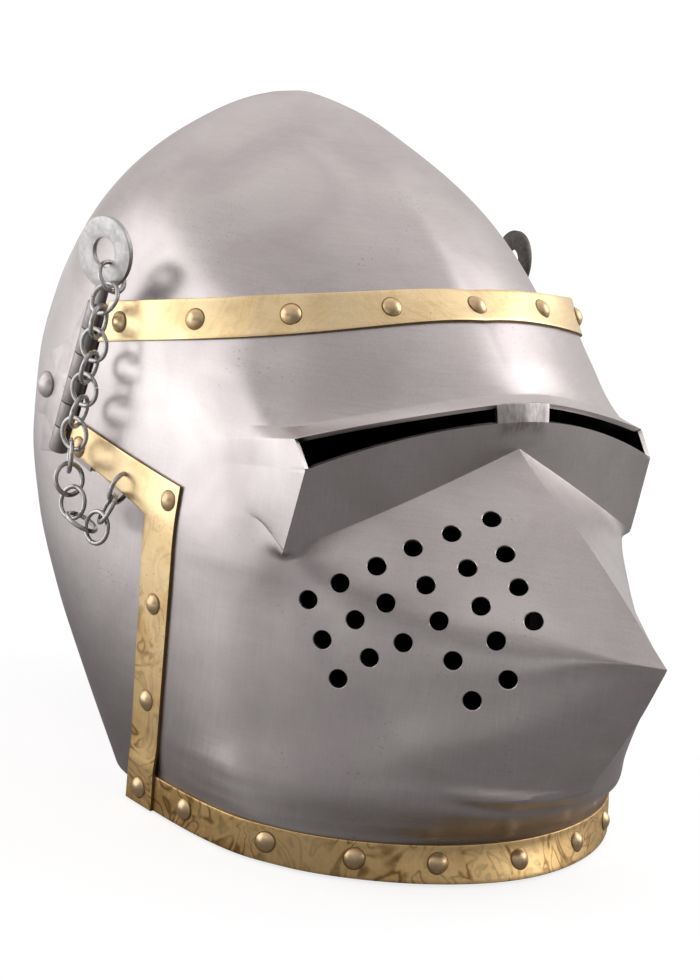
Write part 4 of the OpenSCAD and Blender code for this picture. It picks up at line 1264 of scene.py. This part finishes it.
stem_top = hinge_len + WASHER_RISE - WASHER_R
rod = [(0, 0.3), (1.8, 0.3), (PIN_R, 0.7), (PIN_R, hinge_len)]
stem = [(2.7, hinge_len), (STEM_R, hinge_len + 0.2), (STEM_R, stem_top + 4), (STEM_R - 0.5, stem_top + 5),
        (STEM_R - 1.4, stem_top + 5.5), (0, stem_top + 5.5)]
beside_stem = Matrix.Rotation(WASHER_TURN, 4, "Z") @ Matrix.Translation(WASHER_PLACE)
beside_stem = beside_stem @ Matrix.Rotation(radians(90), 4, "Y")
for word, way in SIDES:
    pin_body = word + "_pin_body"
    bm = bmesh.new()
    turned(bm, rod + stem, hinge_frame(way))
    new_piece(word + "_pin_rod", bm, pin_body, washer_steel, word + "_hinge_pin")
    bm = bmesh.new()
    turned(bm, ring_profile(WASHER_HOLE, WASHER_R, WASHER_T), hinge_frame(way) @ beside_stem, 64)
    # the left washer takes the darker copy: painted shade behind the skull
    finish = shaded_washer_steel if word == "left" else washer_steel
    new_piece(word + "_pull_washer", bm, pin_body, finish, word + "_pin_washer")
print("pins", round(stem_top + 5.5, 1), "mm long, washers", 2 * WASHER_R, "mm wide")

# %% [markdown]
# ## Chains
# Fifteen butted rings hang from each washer, past the barrel, and forward to a hole in the strip.
# Their centres stand evenly along a smooth route. The distance that makes exactly fifteen of them
# fit is found by halving a range again and again, which is easier than working it out, because the
# route is curved.

# %% Route of a chain
CHAIN_ROUTE = [
    (105.2, 128.6, 198), (109.5, 125.5, 190), (112, 124, 181), (112.3, 125.5, 167), (112.3, 128.5, 150),
    (112.3, 131.5, 132), (112, 132, 120), (112, 127.5, 109.5), (111.5, 119, 102.5), (110.8, 111.5, 102.5),
    (109, 107.5, 111.5), (103.6, 108.4, 119.4),
]
RING_TURNS = (-10, 105, 30, 105, 30, 105, 30, 105, 60, 0, 105, 15, 90, 120, -20)


def route_point(w, i, t):
    a, b, c, d = w[max(i - 1, 0)], w[i], w[i + 1], w[min(i + 2, len(w) - 1)]
    return (2 * b + (c - a) * t + (2 * a - 5 * b + 4 * c - d) * t**2 + (3 * b - a - 3 * c + d) * t**3) / 2


knots = [at(*p) for p in CHAIN_ROUTE]
route = [route_point(knots, i, k / 20) for i in range(len(knots) - 1) for k in range(20)] + [knots[-1]]


def walk(spacing):
    found, k = [route[0]], 1
    while k < len(route):
        if (route[k] - found[-1]).length >= spacing:
            a, b = route[k - 1], route[k]
            near, far = (a - found[-1]).length, (b - found[-1]).length
            found.append(a.lerp(b, (spacing - near) / (far - near)))
        else:
            k += 1
    return found


close, loose = 5 * MM, 14 * MM
for _ in range(24):
    tried = (close + loose) / 2
    if len(walk(tried)) >= len(RING_TURNS):
        close = tried
    else:
        loose = tried
centres = walk(close)[:len(RING_TURNS)]
print("rings every", round(close / MM, 2), "mm")

# %% [markdown]
# Each ring is a wire circle spun round almost a full turn, which leaves the butted gap open. Each
# is also turned about the route by an angle of its own, as loose rings are. The first goes through
# the washer and the last through the hole in the strip, so these two have set directions.

# %% One ring
RING_R, WIRE_R = 6.2, 0.95
outward = Vector((cos(WASHER_TURN), sin(WASHER_TURN), 0))
washer_middle = outward * WASHER_OUT + Vector((0, 0, hinge_len + WASHER_RISE))
washer_middle = hinge_frame(1) @ (washer_middle * MM)


def ring_axis(k):
    x_way, angle = Vector((1, 0, 0)), radians(RING_TURNS[k])
    if k == 0:
        t = (washer_middle - centres[0]).normalized()
        e = x_way.cross(t).normalized()
    elif k == len(RING_TURNS) - 1:
        t, e = Vector((0, -12, 56)).normalized(), Vector((0, 56, 12)).normalized()
    else:
        t = (centres[k + 1] - centres[k - 1]).normalized()
        e = t.cross(x_way).normalized()
    return (e * cos(angle) + t.cross(e) * sin(angle)).normalized()


def ring_bmesh(k):
    bm = bmesh.new()
    wire = bmesh.ops.create_circle(bm, segments=12, radius=WIRE_R * MM, cap_ends=True)["verts"]
    bmesh.ops.rotate(bm, verts=wire, matrix=Matrix.Rotation(radians(90), 3, "X"))
    bmesh.ops.translate(bm, vec=(RING_R * MM, 0, 0), verts=wire)
    bmesh.ops.spin(bm, geom=wire + bm.edges[:] + bm.faces[:], cent=(0, 0, 0), axis=(0, 0, 1),
                   angle=radians(358), steps=40, use_duplicate=False)
    bmesh.ops.recalc_face_normals(bm, faces=bm.faces)
    gap_turn = Matrix.Rotation(0.9 + 2.4 * k, 4, "Z")
    bmesh.ops.transform(bm, matrix=stand_on(centres[k], ring_axis(k)) @ gap_turn, verts=bm.verts)
    return bm


print("a ring is", round(2 * (RING_R + WIRE_R), 1), "mm wide")

# %% [markdown]
# The first ring goes with the pin and the last stays with the visor. The rings between them
# ride on no body, and each keeps its place in its own mesh.


for word, way in SIDES:
    pin_body = word + "_pin_body"
    ends = {0: pin_body, len(centres) - 1: "visor_body"}
    for k, centre in enumerate(centres):
        bm = ring_bmesh(k)
        mirror_to(way, bm)
        ring = new_piece(f"{word}_chain_ring_{k + 1:02d}", bm, ends.get(k), chain_steel,
                         word + "_chain", sharp=60)
        if k not in ends:
            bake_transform(ring)
print(len(SIDES) * len(centres), "rings")

# %% [markdown]
# ## What is kept from the frame
# The spacers and burrs of the pivots are plain rings with the right shape already, so they stay
# and only take the hinge's finish.

# %% Finish of the kept solids
for word, way in SIDES:
    for part in ("_pivot_spacer", "_pivot_burr"):
        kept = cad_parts[word + part]
        kept.data.materials.clear()
        kept.data.materials.append(hinge_steel)
print("kept solids:", 2 * len(SIDES))
